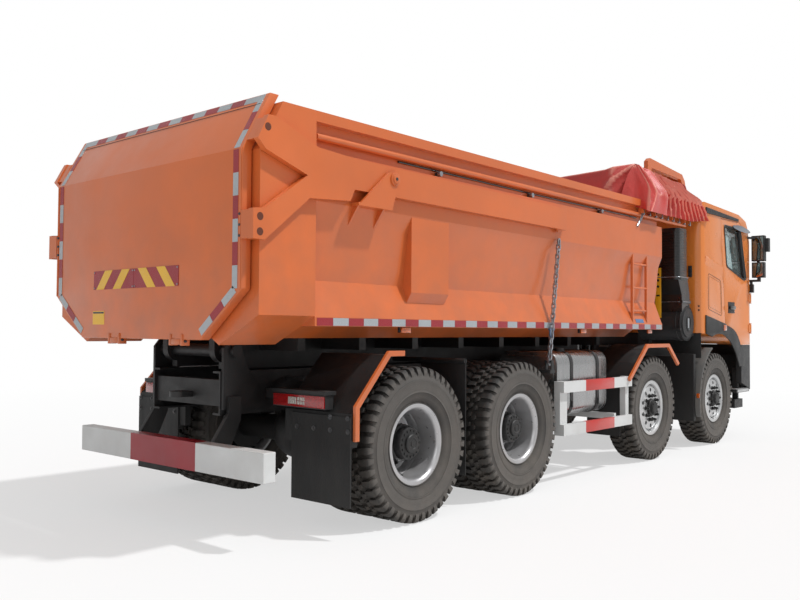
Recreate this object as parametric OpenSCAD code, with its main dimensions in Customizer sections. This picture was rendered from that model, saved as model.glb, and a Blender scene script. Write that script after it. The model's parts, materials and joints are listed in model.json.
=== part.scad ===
// Four-axle dump truck with a tipping steel body, a top-hung tailgate and a front hoist.
// X points forward, Y to the left, Z up. The origin is on the ground, under the middle.

/* [Axles] */
// First to second steered axle
spacing_12 = 1800; // [1750:10:1950]
// Second steered axle to first drive axle
spacing_23 = 2650; // [2600:10:3100]
// First to second drive axle
spacing_34 = 1350; // [1300:10:1450]
// First axle to the front of the cab
front_overhang = 1400; // [1350:10:1500]
// Last axle to the back of the tailgate
rear_overhang = 1530; // [1450:10:1650]
// Between the tread centres of the two steered wheels
steer_track = 2120; // [2060:10:2140]
// Between the middles of the two twin wheels
twin_track = 1860; // [1840:5:1880]
// Between the centres of the two tyres of a twin
twin_pitch = 330; // [325:1:345]

/* [Wheels] */
// Tyre diameter over the lugs
tyre_od = 1110; // [1080:2:1120]
// Tyre width at the sidewalls
tyre_w = 300; // [280:1:310]
// Height of the lugs
lug_h = 22; // [12:1:28]
// Lugs around one tyre
lug_count = 30; // [20:1:36]
// Radius of the bead seat
seat_r = 257; // [252:1:262]
// Height of the rim flange over the seat
flange_h = 33; // [20:1:36]
// Hand holes in a wheel disc
hand_holes = 10; // [6:1:12]
// Radius of a hand hole
hand_hole_r = 21; // [14:1:24]

/* [Chassis] */
// Height of the top of the frame rails
rail_top = 1080; // [1070:1:1084]
// Depth of a frame rail
rail_h = 300; // [260:5:320]
// Width of a rail's flanges
rail_w = 80; // [70:1:90]
// Thickness of a rail
rail_t = 14; // [8:1:18]
// Width over the two rails
frame_w = 800; // [760:5:820]
// Distance from a kingpin to the middle of the truck
kingpin_y = 930; // [915:1:935]
// Radius of the tow pin holes
tow_pin_r = 25; // [18:1:30]
// Radius of a kingpin
kingpin_r = 32; // [25:1:36]

/* [Body] */
// Length of the tipping body
bed_len = 5710; // [5500:10:5760]
// Half width over the sill
bed_half_w = 1180; // [1160:1:1182]
// Sill to the load space, on one side
bed_wall = 100; // [95:1:120]
// Underside of the body floor
floor_z = 1310; // [1305:1:1330]
// Thickness of the floor
floor_t = 12; // [8:1:20]
// Underside of the sill
sill_z = 1392; // [1385:1:1400]
// Height of the sill face
sill_h = 58; // [50:1:70]
// Top of the body side
bed_top = 2770; // [2740:1:2800]
// Thickness of the front wall
front_wall_t = 60; // [40:1:80]
// Height of the tipping hinge
tip_z = 1220; // [1212:1:1222]
// Tipping hinge behind the last axle
tip_back = 1020; // [1000:5:1050]
// Radius of the tipping shaft
tip_shaft_r = 45; // [35:1:50]

/* [Tailgate] */
// Thickness of the tailgate
gate_t = 80; // [60:1:90]
// Sill to the tailgate's edge, on one side
gate_inset = 65; // [55:1:75]
// Height of the tailgate's crease
crease_z = 2450; // [2430:5:2470]
// Top edge of the tailgate
gate_top = 2825; // [2800:5:2840]
// How far the top edge leans forward
gate_lean = 210; // [180:5:240]
// Height of the tailgate pivot
pivot_z = 2410; // [2400:1:2415]
// Pivot behind the last axle
pivot_back = 306; // [300:1:320]
// Radius of the pivot pin
pivot_r = 38; // [30:1:42]
// Thickness of a tailgate lever
lever_t = 44; // [36:1:46]
// Height of a lever beam
lever_h = 195; // [170:5:200]
// End of the lever ahead of the last axle
lever_end = 2100; // [2080:5:2140]
// Thickness of the bar of a chain link
link_bar = 14; // [10:1:15]
// Pitch of the chain links
link_pitch = 45; // [42:1:50]
// Chain anchor ahead of the last axle
anchor_ahead = 1830; // [1815:5:1850]
// Height of the chain anchor
anchor_z = 1100; // [1090:5:1130]

/* [Hoist] */
// Radius of the hoist barrel
barrel_r = 105; // [100:1:120]
// Radius step from stage to stage
stage_step = 14; // [10:1:15]
// Wall of a stage
stage_wall = 9; // [6:1:9]
// Foot pivot of the hoist behind the cab
hoist_foot_gap = 540; // [500:5:560]
// Height of the foot pivot
hoist_foot_z = 1150; // [1145:1:1160]
// Head eye ahead of the body's front wall
hoist_eye_ahead = 410; // [400:5:420]
// Height of the head eye
hoist_eye_z = 2300; // [2280:5:2320]

/* [Cab] */
// Length of the cab
cab_len = 1920; // [1880:10:1930]
// Half width of the cab
cab_half_w = 1235; // [1220:1:1240]
// Thickness of the cab's walls and doors
cab_wall = 60; // [50:1:70]
// Top of the cab roof
roof_z = 2930; // [2900:5:2940]
// Underside of the cab at the back
cab_bottom = 1360; // [1350:5:1380]
// Underside of the doors and of the cab's nose
door_bottom = 1205; // [1200:5:1215]
// Gap round a door
door_gap = 6; // [5:1:8]
// Radius of the cab's wheel arch
cab_arch_r = 795; // [780:5:800]

/* [Guards] */
// Inner radius of the front mudguards
guard_r = 665; // [655:5:680]
// Thickness of the mudguards
guard_t = 12; // [8:1:16]
// Outer face of mudguards and side guards
side_y = 1245; // [1240:1:1250]
// Thickness of the bunched tarp
tarp_t = 45; // [30:1:60]
// Length of the fuel tank
tank_len = 960; // [800:10:1000]
// Height of the fuel tank
tank_h = 600; // [560:5:620]
// Depth of the fuel tank across the truck
tank_w = 640; // [560:5:660]
// Length of the underrun beam across the truck
underrun_w = 2170; // [2100:5:2300]
// Height of the underrun beam
underrun_h = 190; // [150:5:200]

/* [Hidden] */
$fn = 64;
fit = 0.3;         // gap at a seat or a bead
run = 0.1;         // radial running clearance of a pin
play = 5;          // least gap between moving pieces
overall = front_overhang + spacing_12 + spacing_23 + spacing_34 + rear_overhang;
ax4 = rear_overhang - overall / 2;
ax3 = ax4 + spacing_34;
ax2 = ax3 + spacing_23;
ax1 = ax2 + spacing_12;
wheel_r = tyre_od / 2;
root_r = wheel_r - lug_h;
steer_y = steer_track / 2;
twin_y = twin_track / 2;
rail_y = frame_w / 2;
rail_bottom = rail_top - rail_h;
bed_rear = ax4 - rear_overhang + gate_t + 10;
bed_front = bed_rear + bed_len;
load_half_w = bed_half_w - bed_wall;
gate_half_w = bed_half_w - gate_inset;
cab_front = ax1 + front_overhang;
cab_rear = cab_front - cab_len;
tip_x = ax4 - tip_back;
pivot_x = ax4 - pivot_back;
lever_in = bed_half_w + 6;
lever_out = lever_in + lever_t;
chain_y = (lever_in + lever_out) / 2;
anchor_x = ax4 + anchor_ahead;
foot_x = cab_rear - hoist_foot_gap;
eye_x = bed_front + hoist_eye_ahead;
hoist_lean = atan2(foot_x - eye_x, hoist_eye_z - hoist_foot_z);
hoist_l = norm([foot_x - eye_x, hoist_eye_z - hoist_foot_z]);
stage_r = [for (i = [0:4]) barrel_r - i * stage_step];
door_hinge_x = cab_front - 264;
door_hinge_y = cab_half_w + 6;
orange = [0.86, 0.42, 0.18];
cab_orange = [0.90, 0.49, 0.22];
black = [0.05, 0.05, 0.055];
silver = [0.72, 0.73, 0.74];

// Helpers: boxes by their two corners, slabs of an outline, cylinders along an axis
module box(a, b) {
    translate(a) cube(b - a);
}
module slab_y(y0, y1) {
    translate([0, y1, 0]) rotate([90, 0, 0]) linear_extrude(y1 - y0) children();
}
module slab_x(x0, x1) {
    translate([x0, 0, 0]) rotate([90, 0, 90]) linear_extrude(x1 - x0) children();
}
module rod_y(x, z, y0, y1, r) {
    translate([x, y1, z]) rotate([90, 0, 0]) cylinder(h = y1 - y0, r = r);
}
module rod_x(x0, x1, y, z, r) {
    translate([x0, y, z]) rotate([0, 90, 0]) cylinder(h = x1 - x0, r = r);
}
module both() {
    children();
    mirror([0, 1, 0]) children();
}
module on_side(side) {
    if (side > 0) children();
    else mirror([0, 1, 0]) children();
}
function mirrored(half) = concat(half, [for (i = [len(half) - 1:-1:0]) [-half[i][0], half[i][1]]]);

// Tyres: a revolved carcass with a ring of lugs, axis along Y
module tyre() {
    w = tyre_w / 2;
    bead = w * 0.70;
    wall = [
        [seat_r, bead], [seat_r + flange_h + 1, bead], [seat_r + flange_h + 8, bead + 14],
        [seat_r + 90, w - 8], [seat_r + 165, w], [root_r - 50, w - 4], [root_r - 8, w - 20],
        [root_r, w - 34]];
    color([0.09, 0.09, 0.09]) rotate([90, 0, 0]) {
        rotate_extrude()
            polygon(concat(wall, [for (i = [len(wall) - 1:-1:0]) [wall[i][0], -wall[i][1]]]));
        lug_ring(w - 30);
    }
}
// One ring of lugs, straight across the tread
module lug_ring(w) {
    step = 360 / lug_count;
    outline = [for (i = [0:lug_count - 1]) for (p = [[0.0, 0], [0.06, 1], [0.56, 1], [0.62, 0]])
        let (r = root_r - 6 + p[1] * (lug_h + 6), a = (i + p[0]) * step) [r * cos(a), r * sin(a)]];
    translate([0, 0, -w]) linear_extrude(2 * w) difference() {
        polygon(outline);
        circle(r = root_r - 40);
    }
}
// Rim barrel with its two flanges, and the hub with its cap
module barrel(w) {
    s = seat_r - fit;
    b = w * 0.70 + fit;
    rotate_extrude() polygon([
        [s - 9, -b - 8], [s + flange_h, -b - 8], [s + flange_h, -b], [s, -b],
        [s, b], [s + flange_h, b], [s + flange_h, b + 8], [s - 9, b + 8]]);
}
module disc_holes(r, n, hole_r, h) {
    for (i = [0:n - 1]) rotate(i * 360 / n) translate([r, 0, -h]) cylinder(h = 2 * h, r = hole_r);
}
// Steered wheel: outward disc, drum behind it, hub with ten studs; axis along Y, outside at +Y
module steer_rim() {
    face = 95;
    color(silver) rotate([-90, 0, 0]) difference() {
        union() {
            barrel(tyre_w / 2);
            difference() {
                rotate_extrude() polygon([
                    [seat_r - 9, 40], [seat_r - 9, 56], [215, face + 12], [80, face + 12], [80, face],
                    [208, face], [seat_r - 20, 40]]);
                disc_holes(176, hand_holes, hand_hole_r, 2 * tyre_w);
            }
            translate([0, 0, -55]) cylinder(h = face + 61, r = 140);
            translate([0, 0, face + 4]) cylinder(h = 58, r = 88);
            for (i = [0:9]) rotate(i * 36 + 18) translate([126, 0, face + 4]) cylinder(h = 54, r = 13);
        }
        translate([0, 0, -60]) cylinder(h = 150, r = 45 + run);
    }
}
// Twin wheels: two dished discs back to back, hub with its planetary cap; outside at +Y
module twin_rims() {
    h = twin_pitch / 2;
    color(silver) rotate([-90, 0, 0]) difference() {
        union() {
            for (k = [-1, 1]) translate([0, 0, k * h]) mirror([0, 0, k < 0 ? 1 : 0]) {
                barrel(tyre_w / 2);
                difference() {
                    rotate_extrude() polygon([
                        [seat_r - 9, -50], [seat_r - 9, -70], [222, -h], [90, -h], [90, 14 - h],
                        [212, 14 - h], [seat_r - 18, -50]]);
                    disc_holes(190, 8, 26, 2 * tyre_w);
                }
            }
            cylinder(h = 150, r = 135);
            translate([0, 0, 150]) cylinder(h = 80, r = 118);
            translate([0, 0, 230]) cylinder(h = 22, r = 70);
        }
        translate([0, 0, -20]) cylinder(h = 120, r = 60 + run);
    }
}
module steered_tyre(ax, side) {
    on_side(side) translate([ax, steer_y, wheel_r]) tyre();
}
module steered_rim(ax, side) {
    on_side(side) translate([ax, steer_y, wheel_r]) steer_rim();
}
module twin_tyres(ax, side) {
    on_side(side) for (k = [-1, 1]) translate([ax, twin_y + k * twin_pitch / 2, wheel_r]) tyre();
}
module twin_rim_pair(ax, side) {
    on_side(side) translate([ax, twin_y, wheel_r]) twin_rims();
}

// Steering knuckle: kingpin, two arms and a flange that carries the stub shaft
module knuckle(ax, side) {
    arm = 35;
    boss = 140;
    color(black) on_side(side) {
        translate([ax, kingpin_y, wheel_r - boss / 2 - play - arm])
            cylinder(h = boss + 2 * play + 2 * arm, r = kingpin_r);
        for (k = [-1, 1]) translate([0, 0, wheel_r + k * (boss / 2 + play + arm / 2)])
            box([ax - 50, kingpin_y - 50, -arm / 2], [ax + 50, steer_y - 72, arm / 2]);
        rod_y(ax, wheel_r, steer_y - 75, steer_y - 60, 120);
        rod_y(ax, wheel_r, steer_y - 75, steer_y + 60, 45);
    }
}
module front_axle_beams() {
    color(black) for (ax = [ax1, ax2]) difference() {
        union() {
            slab_x(ax - 45, ax + 45) polygon(mirrored([
                [0, wheel_r - 150], [520, wheel_r - 150], [700, wheel_r - 70], [kingpin_y, wheel_r - 70],
                [kingpin_y, wheel_r + 70], [680, wheel_r + 60], [520, wheel_r - 20], [0, wheel_r - 20]]));
            both() translate([ax, kingpin_y, wheel_r - 70]) cylinder(h = 140, r = 54);
        }
        both() translate([ax, kingpin_y, wheel_r - 100]) cylinder(h = 200, r = kingpin_r + run);
    }
}
module drive_axles() {
    color(black) for (ax = [ax4, ax3]) {
        both() {
            rod_y(ax, wheel_r, 0, twin_y - twin_pitch / 2 - 80, 105);
            rod_y(ax, wheel_r, twin_y - twin_pitch / 2 - 90, twin_y - 25, 205);
            rod_y(ax, wheel_r, twin_y - 40, twin_y + 90, 60);
        }
        translate([ax, 0, wheel_r]) sphere(r = 225);
        rod_x(ax, ax + 330, 0, wheel_r + 20, 95);
    }
    color(black) rod_x(ax3 - 260, ax3, 0, wheel_r + 20, 70);
}
// Springs: one pack over each steered axle, one pack across the two drive axles
module leaf_springs() {
    top = rail_bottom;
    mid = (ax3 + ax4) / 2;
    color(black) both() {
        for (ax = [ax1, ax2]) {
            slab_y(rail_y - 60, rail_y + 20) polygon([
                [ax - 720, top - 40], [ax - 300, wheel_r + 120], [ax + 300, wheel_r + 120],
                [ax + 720, top - 40], [ax + 720, top - 62], [ax + 300, wheel_r + 50],
                [ax - 300, wheel_r + 50], [ax - 720, top - 62]]);
            for (k = [-1, 1])
                box([ax + k * 700 - 45, rail_y - 60, top - 60], [ax + k * 700 + 45, rail_y + 20, top]);
            box([ax - 70, rail_y - 60, wheel_r - 20], [ax + 70, rail_y + 20, wheel_r + 60]);
        }
        slab_y(rail_y + 20, rail_y + 110) polygon([
            [ax4 + 20, wheel_r + 140], [mid - 130, wheel_r + 250], [mid + 130, wheel_r + 250],
            [ax3 - 20, wheel_r + 140], [ax3 - 20, wheel_r + 120], [mid + 130, wheel_r + 120],
            [mid - 130, wheel_r + 120], [ax4 + 20, wheel_r + 120]]);
        for (ax = [ax4, ax3])
            box([ax - 70, rail_y + 20, wheel_r + 105 + fit], [ax + 70, rail_y + 110, wheel_r + 130]);
        box([mid - 100, rail_y, wheel_r + 120], [mid + 100, rail_y + 20, rail_top - 60]);
        rod_y(mid, wheel_r + 60, rail_y - 80, rail_y + 110, 66);
        box([mid - 90, rail_y - 80, wheel_r + 60], [mid + 90, rail_y, rail_bottom]);
    }
}
module prop_shafts() {
    gear_x = ax2 + 250;
    start = ax3 + 350;
    rise = 110;
    run_l = gear_x - start - 20;
    color(black) {
        rod_x(ax4 + 330, ax3 - 260, 0, wheel_r + 20, 50);
        translate([start, 0, wheel_r + 20]) rotate([0, atan2(run_l, rise), 0])
            cylinder(h = norm([run_l, rise]), r = 55);
        rod_x(ax3 + 330, start + 20, 0, wheel_r + 20, 70);
        rod_x(gear_x - 40, gear_x, 0, wheel_r + 20 + rise, 70);
    }
}

// Chassis frame: two channels, cross members and the brackets of the tipping shaft
module frame_rails() {
    tail = tip_x - 100;
    nose = ax1 + 1050;
    members = [tail + 60, ax4 - 500, (ax3 + ax4) / 2, ax3 + 760, ax2 - 620, ax2 + 700, nose - 60];
    color(black) {
        both() difference() {
            box([tail, rail_y - rail_w, rail_bottom], [nose, rail_y, rail_top]);
            box([tail - 1, rail_y - rail_w - 1, rail_bottom + rail_t],
                [nose + 1, rail_y - rail_t, rail_top - rail_t]);
        }
        for (x = members)
            box([x - 40, -rail_y + rail_t, rail_bottom + 60], [x + 40, rail_y - rail_t, rail_top - 60]);
        both() slab_y(rail_y, rail_y + 24) polygon([
            [tip_x - 90, rail_bottom + 40], [tip_x - 90, tip_z + 20], [tip_x - 40, tip_z + 78],
            [tip_x + 40, tip_z + 78], [tip_x + 130, rail_top], [tip_x + 330, rail_bottom + 40]]);
        rod_y(tip_x, tip_z, -rail_y - 60, rail_y + 60, tip_shaft_r);
        both() box([foot_x - 60, barrel_r + 12, rail_bottom + 100],
            [foot_x + 60, barrel_r + 40, hoist_foot_z + 60]);
        for (k = [-1, 1]) box([foot_x + k * 100 - 30, -rail_y + rail_t, rail_bottom + 100],
            [foot_x + k * 100 + 30, rail_y - rail_t, rail_bottom + 180]);
        both() box([foot_x - 130, barrel_r + 12, rail_bottom + 100],
            [foot_x + 130, barrel_r + 40, rail_bottom + 180]);
        both() underrun_arm();
        both() chain_anchor();
        cab_mounts();
        tow_eye(tail);
    }
}
// Pillars that carry the cab, at its back and under its nose
module cab_mounts() {
    x = cab_rear + 60;
    fall = 40 / (ax1 - 220 - cab_rear);
    both() slab_y(rail_y - 70, rail_y - 10) polygon([
        [x, rail_top], [x + 100, rail_top], [x + 100, cab_bottom - 160 * fall - fit],
        [x, cab_bottom - 60 * fall - fit]]);
    both() box([cab_front - 650, rail_y - 70, rail_top], [cab_front - 570, rail_y - 10, cab_bottom - fit]);
}
// Rear tow eye with a vertical pin hole
module tow_eye(tail) {
    difference() {
        union() {
            box([tail - 60, -60, 890], [tail + 40, 60, 930]);
            translate([tail - 60, 0, 890]) cylinder(h = 40, r = 60);
        }
        translate([tail - 60, 0, 880]) cylinder(h = 60, r = tow_pin_r);
    }
}
// Outrigger that holds a chain's lower end
module chain_anchor() {
    box([anchor_x - 40, rail_y - 1, anchor_z - 100], [anchor_x + 40, chain_y + 34, anchor_z - 70]);
    for (y = [chain_y - 34, chain_y + 24])
        box([anchor_x - 20, y, anchor_z - 71], [anchor_x + 20, y + 10, anchor_z + 14]);
    rod_y(anchor_x, anchor_z, chain_y - 30, chain_y + 30, 22 - link_bar - fit);
}
// Arm from the tipping shaft's bracket to the underrun beam
module underrun_arm() {
    x = ax4 - 1210 + fit;
    slab_y(rail_y + 20, rail_y + 54) polygon([
        [x, 430], [x, 610], [tip_x - 60, rail_bottom + 20], [tip_x - 60, rail_bottom + 130],
        [tip_x + 40, rail_bottom + 130], [tip_x + 40, rail_bottom - 30], [x + 80, 430]]);
}
// Bumper: as wide as the cab, round at the corners, with two steps behind each corner
module front_bumper() {
    low = 610;
    top = door_bottom - 5;
    rear = cab_front - 595;
    color(black) {
        difference() {
            intersection() {
                slab_y(-cab_half_w, cab_half_w) polygon([
                    [rear, low + 105], [rear, top], [cab_front, top], [cab_front, low + 70],
                    [cab_front - 50, low], [cab_front - 240, low]]);
                translate([0, 0, low - 1]) linear_extrude(top - low + 2) polygon(cab_plan(0));
            }
            slab_y(-cab_half_w + 70, cab_half_w - 70) polygon([
                [rear - 1, low + 40], [rear - 1, top + 1], [cab_front - 60, top + 1],
                [cab_front - 60, low + 90], [cab_front - 90, low + 40]]);
            both() box([cab_front - 170, 660, 830], [cab_front + 1, cab_half_w - 120, 1040]);
            slab_y(-560, 560) polygon([
                [cab_front - 25, 760], [cab_front + 1, 760], [cab_front + 1, 1120], [cab_front - 25, 1120]]);
        }
        both() box([cab_front - 190, 640, 810], [cab_front - 162, cab_half_w - 60, 1060]);
        for (i = [0:4]) box([cab_front - 30, -562, 775 + 72 * i], [cab_front - 8, 562, 805 + 72 * i]);
        both() box([ax1 + 1050, rail_y - rail_w, rail_bottom + 20], [cab_front - 50, rail_y, rail_top - 170]);
        both() cab_steps(rear);
    }
}
// Two steps below a door, hung on two straps from the bumper
module cab_steps(rear) {
    x = ax1 + 640;
    box([x, cab_half_w - 190, 588], [rear + 300, cab_half_w - 5, 632]);
    box([x, cab_half_w - 170, 390], [x + 290, cab_half_w - 30, 500]);
    for (i = [0, 1]) box([x + 190 + 160 * i, cab_half_w - 130, 440 + 190 * i],
        [x + 230 + 160 * i, cab_half_w - 60, 900]);
}
module rear_underrun() {
    x = ax4 - 1310;
    color("white") box([x, -underrun_w / 2, 425], [x + 100, underrun_w / 2, 425 + underrun_h]);
}
module tail_lamps() {
    x = ax4 - 760;
    color([0.5, 0.05, 0.05]) both() {
        box([x, 540, 840], [x + 70, 1056, 932]);
        box([x - 12, 530, 934], [x + 90, 1066, 960]);
        box([x + 70, 560, 860], [x + 90, 1040, 960]);
        box([x + 40, rail_y, 880], [x + 90, 560, 950]);
    }
}
// Mudguards: flat plates round the drive wheels, arched ones over the steered wheels
module mudguards() {
    in_y = twin_y - twin_pitch / 2 - tyre_w / 2 - 20;
    color(black) both() {
        slab_y(in_y, side_y - 5) polygon([
            [ax4 - 700, 820], [ax4 - 660, 860], [ax4 - 350, 1200], [ax4 - 200, 1200], [ax4 - 200, 1188],
            [ax4 - 344, 1188], [ax4 - 648, 852], [ax4 - 648, 600], [ax4 - 700, 600]]);
        box([ax4 - 712, in_y + 80, 210], [ax4 - 700, side_y - 5, 800]);
        box([ax4 - 530, rail_y, 1000], [ax4 - 500, in_y + 1, 1030]);
        box([ax2 - 642, in_y + 160, 300], [ax2 - 630, side_y - 120, 900]);
        box([ax2 - 660, rail_y + 25, 840], [ax2 - 642, in_y + 260, 880]);
        box([ax2 - 660, rail_y, 790], [ax2 - 642, rail_y + 26, 880]);
        arch_guard(ax2, 55, 150, in_y + 190, side_y - 8);
        arch_guard(ax1, 115, 195, in_y + 190, side_y - 8);
        box([ax1 - guard_r - guard_t - 60, in_y + 190, 330], [ax1 - guard_r - guard_t, side_y - 30, 1110]);
        box([ax1 - guard_r - guard_t - 60, rail_y, 900],
            [ax1 - guard_r - guard_t - 20, in_y + 191, 960]);
        for (k = [-20, 20]) box([ax2 + k * 10 - 25, rail_y, 960], [ax2 + k * 10 + 25, in_y + 191, 1000]);
        for (k = [-20, 20]) slab_x(ax2 + k * 10 - 25, ax2 + k * 10 + 25) polygon([
            [in_y + 150, 960], [in_y + 191, 960], [in_y + 191, wheel_r + guard_r], [in_y + 150, 1000]]);
    }
}
// A part ring about a wheel, between two angles from straight ahead
module arch_guard(ax, a0, a1, y0, y1) {
    translate([ax, y1, wheel_r]) rotate([90, 0, 0]) rotate([0, 0, a0]) rotate_extrude(angle = a1 - a0)
        translate([guard_r, 0]) square([guard_t, y1 - y0]);
}
module mudguard_lips() {
    top = 1240;
    color(orange) both() {
        slab_y(side_y - 5 + fit, side_y + 20) polygon([
            [ax4 - 690, 640], [ax4 - 690, 870], [ax4 - 362, top - 12], [ax4 - 195, top - 12],
            [ax4 - 195, top - 50], [ax4 - 344, top - 50], [ax4 - 650, 856], [ax4 - 650, 640]]);
        slab_y(side_y - 8 + fit, side_y + 20) polygon([
            [ax2 - 700, 900], [ax2 - 285, top], [ax2 + 270, top], [ax2 + 540, 1020], [ax2 + 505, 995],
            [ax2 + 250, top - 40], [ax2 - 265, top - 40], [ax2 - 680, 868]]);
    }
}
// Side guards: two posts and two rails on each side, between axles 2 and 3
module side_guards() {
    x0 = ax3 + 690;
    x1 = ax2 - 590;
    y = side_y - 50;
    color("white") both() {
        for (z = [[430, 530], [815, 915]]) box([x0, y, z[0]], [x1, y + 40, z[1]]);
        box([x0, y - 60, 430], [x0 + 125, y, 915]);
        box([x1 - 70, y - 60, 430], [x1, y, 915]);
        for (x = [x0 + 40, x1 - 320]) box([x, rail_y, 500], [x + 40, y + 1, 560]);
        for (x = [x0 + 40, x1 - 320])
            box([x, rail_y, 500], [x + 40, rail_y + 30, rail_bottom + 40]);
    }
}
module fuel_tank() {
    x = ax3 + 770;
    y = -1120;
    r = 90;
    color([0.35, 0.36, 0.37]) difference() {
        union() {
            slab_x(x, x + tank_len) rounded(y, y + tank_w, 580, 580 + tank_h, r);
            translate([x + 260, y + 130, 580 + tank_h - 2]) cylinder(h = 32, r = 50);
        }
    }
    color(black) for (k = [0.27, 0.80]) slab_x(x + k * tank_len - 25, x + k * tank_len + 25) difference() {
        rounded(y - 6, y + tank_w, 574, 586 + tank_h, r + 6);
        rounded(y, y + tank_w + 9, 580, 580 + tank_h, r);
    }
    color(black) for (k = [0.27, 0.80])
        box([x + k * tank_len - 25, y + tank_w, 640], [x + k * tank_len + 25, -rail_y, 1000]);
}
module rounded(x0, x1, z0, z1, r) {
    for (x = [x0 + r, x1 - r]) for (z = [z0 + r, z1 - r]) translate([x, z]) circle(r = r);
    translate([x0 + r, z0]) square([x1 - x0 - 2 * r, z1 - z0]);
    translate([x0, z0 + r]) square([x1 - x0, z1 - z0 - 2 * r]);
}
module battery_box() {
    x = ax3 + 770;
    color([0.12, 0.12, 0.125]) {
        box([x, 640, 600], [x + 620, 1120, 980]);
        box([x - 10, 630, 980], [x + 630, 1130, 1010]);
        for (k = [0, 1]) rod_x(x + 680, x + 1160, 780 + 230 * k, 760, 105);
        box([x + 620, 660, 640], [x + 680, 1090, 700]);
        box([x + 660, 660, 870], [x + 1140, 1000, 890]);
        box([x + 60, rail_y, 880], [x + 1140, 660, 920]);
    }
}
module engine_block() {
    rear = foot_x + 160;
    color([0.25, 0.25, 0.26]) {
        box([rear, -300, 640], [ax1 + 350, 300, 1180]);
        box([ax2 + 250, -200, 590], [rear, 200, 830]);
    }
}
module exhaust_silencer() {
    color([0.30, 0.30, 0.31]) {
        rod_y(ax2 + 760, 720, rail_y + 60, 860, 190);
        box([ax2 + 720, rail_y, 800], [ax2 + 800, rail_y + 62, 860]);
    }
}
module air_filter() {
    x = cab_rear - 240;
    color(black) {
        rod_y(x, 1470, -1150, -620, 200);
        rod_y(x, 1470, -1165, -1145, 165);
        box([x - 40, -700, rail_top - 60], [x + 40, -640, 1290]);
        box([x - 40, -641, rail_top - 60], [x + 40, -rail_y, rail_top - 20]);
    }
}
// Intake duct: a round-cornered tower, ribbed at the back, with a cone down to the filter
module intake_duct() {
    x0 = cab_rear - 515;
    x1 = cab_rear - 225;
    y0 = -1160;
    y1 = -760;
    top = 2570;
    foot = 2000;
    color(black) difference() {
        union() {
            translate([0, 0, foot]) linear_extrude(top - foot) rounded(x0, x1, y0, y1, 60);
            for (i = [0:15]) translate([0, 0, foot + 45 + i * 32]) linear_extrude(14)
                rounded(x0 - 10, x1 - 60, y0 - 4, y1 + 4, 60);
            translate([0, 0, foot - 30]) linear_extrude(34) rounded(x0 - 14, x1 + 14, y0 - 14, y1 + 14, 70);
            slab_y(y0 + 6, y1 - 6) polygon([
                [x0 + 4, foot - 10], [x1 - 4, foot - 10], [x1 + 50, 1800], [x1 + 50, 1600],
                [x0 + 120, 1600], [x0 + 110, 1800]]);
            slab_y(y0 - 6, y1 + 6) polygon([
                [x1 + 60, 1700], [x1 + 60, 1735], [x0 + 100, 1735], [x0 + 100, 1700]]);
        }
        rod_y(cab_rear - 240, 1470, y0 - 7, y1 + 7, 200 + fit);
    }
}

// Cab profiles, in the side plane and in plan
function cab_side() = [
    [cab_rear, cab_bottom], [cab_rear, roof_z - 80], [cab_rear + 80, roof_z],
    [cab_front - 660, roof_z - 35], [cab_front - 400, roof_z - 100], [cab_front - 330, roof_z - 190],
    [cab_front - 90, 2040], [cab_front - 10, 1600], [cab_front, 1400], [cab_front, door_bottom],
    [cab_front - 620, door_bottom], [ax1 - 220, cab_bottom - 40]];
function cab_room() = [
    [cab_rear + cab_wall, cab_bottom + 60], [cab_rear + cab_wall, roof_z - 120],
    [cab_rear + 110, roof_z - cab_wall], [cab_front - 680, roof_z - 35 - cab_wall],
    [cab_front - 450, roof_z - 160], [cab_front - 400, roof_z - 210], [cab_front - 160, 2040],
    [cab_front - 85, 1600], [cab_front - 85, cab_bottom + 60]];
// How far the front corner stands in from the side, against the distance behind the nose
corner = [[-1, 360], [0, 360], [16, 270], [50, 180], [100, 100], [160, 50], [215, 18], [270, 0], [4000, 0]];
function cab_plan(t) = mirrored_x(concat(
    [[cab_rear + t, cab_half_w - 105 - t / 2], [cab_rear + 6 + t, cab_half_w - 66 - t * 0.6],
    [cab_rear + 32 + t * 0.7, cab_half_w - 26 - t * 0.8], [cab_rear + 90 + t / 2, cab_half_w - t]],
    [for (i = [7:-1:1])
        [cab_front - corner[i][0] - t * (1 - i / 9), cab_half_w - corner[i][1] - t * i / 7]]));
function mirrored_x(half) = concat(half, [for (i = [len(half) - 1:-1:0]) [half[i][0], -half[i][1]]]);
// Door outline grown by g, and its window grown by g
function door_edge(g) = [
    [cab_front - 1160 - g, 1466 - g], [cab_front - 1295 - g, 2780 + g], [cab_front - 640 + g, 2790 + g],
    [cab_front - 560 + g, 2740 + g], [cab_front - 320 + g, 2040 + g], [cab_front - 270 + g, 1900],
    [cab_front - 270 + g, door_bottom - g], [cab_front - 640 - g / 2, door_bottom - g],
    [cab_front - 690 - g / 2, 1272 - g], [cab_front - 750 - g / 2, 1330 - g],
    [cab_front - 820 - g / 2, 1376 - g], [cab_front - 900 - g / 2, 1412 - g],
    [cab_front - 1000 - g / 2, 1440 - g]];
function window_edge(g) = [
    [cab_front - 1190 - g, 2710 + g], [cab_front - 1110 - g, 2200 - g], [cab_front - 500, 2060 - g],
    [cab_front - 400 + g, 2060 - g], [cab_front - 600 + g, 2680 + g], [cab_front - 650, 2710 + g]];
hinge_heights = [1420, 1820];
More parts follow.
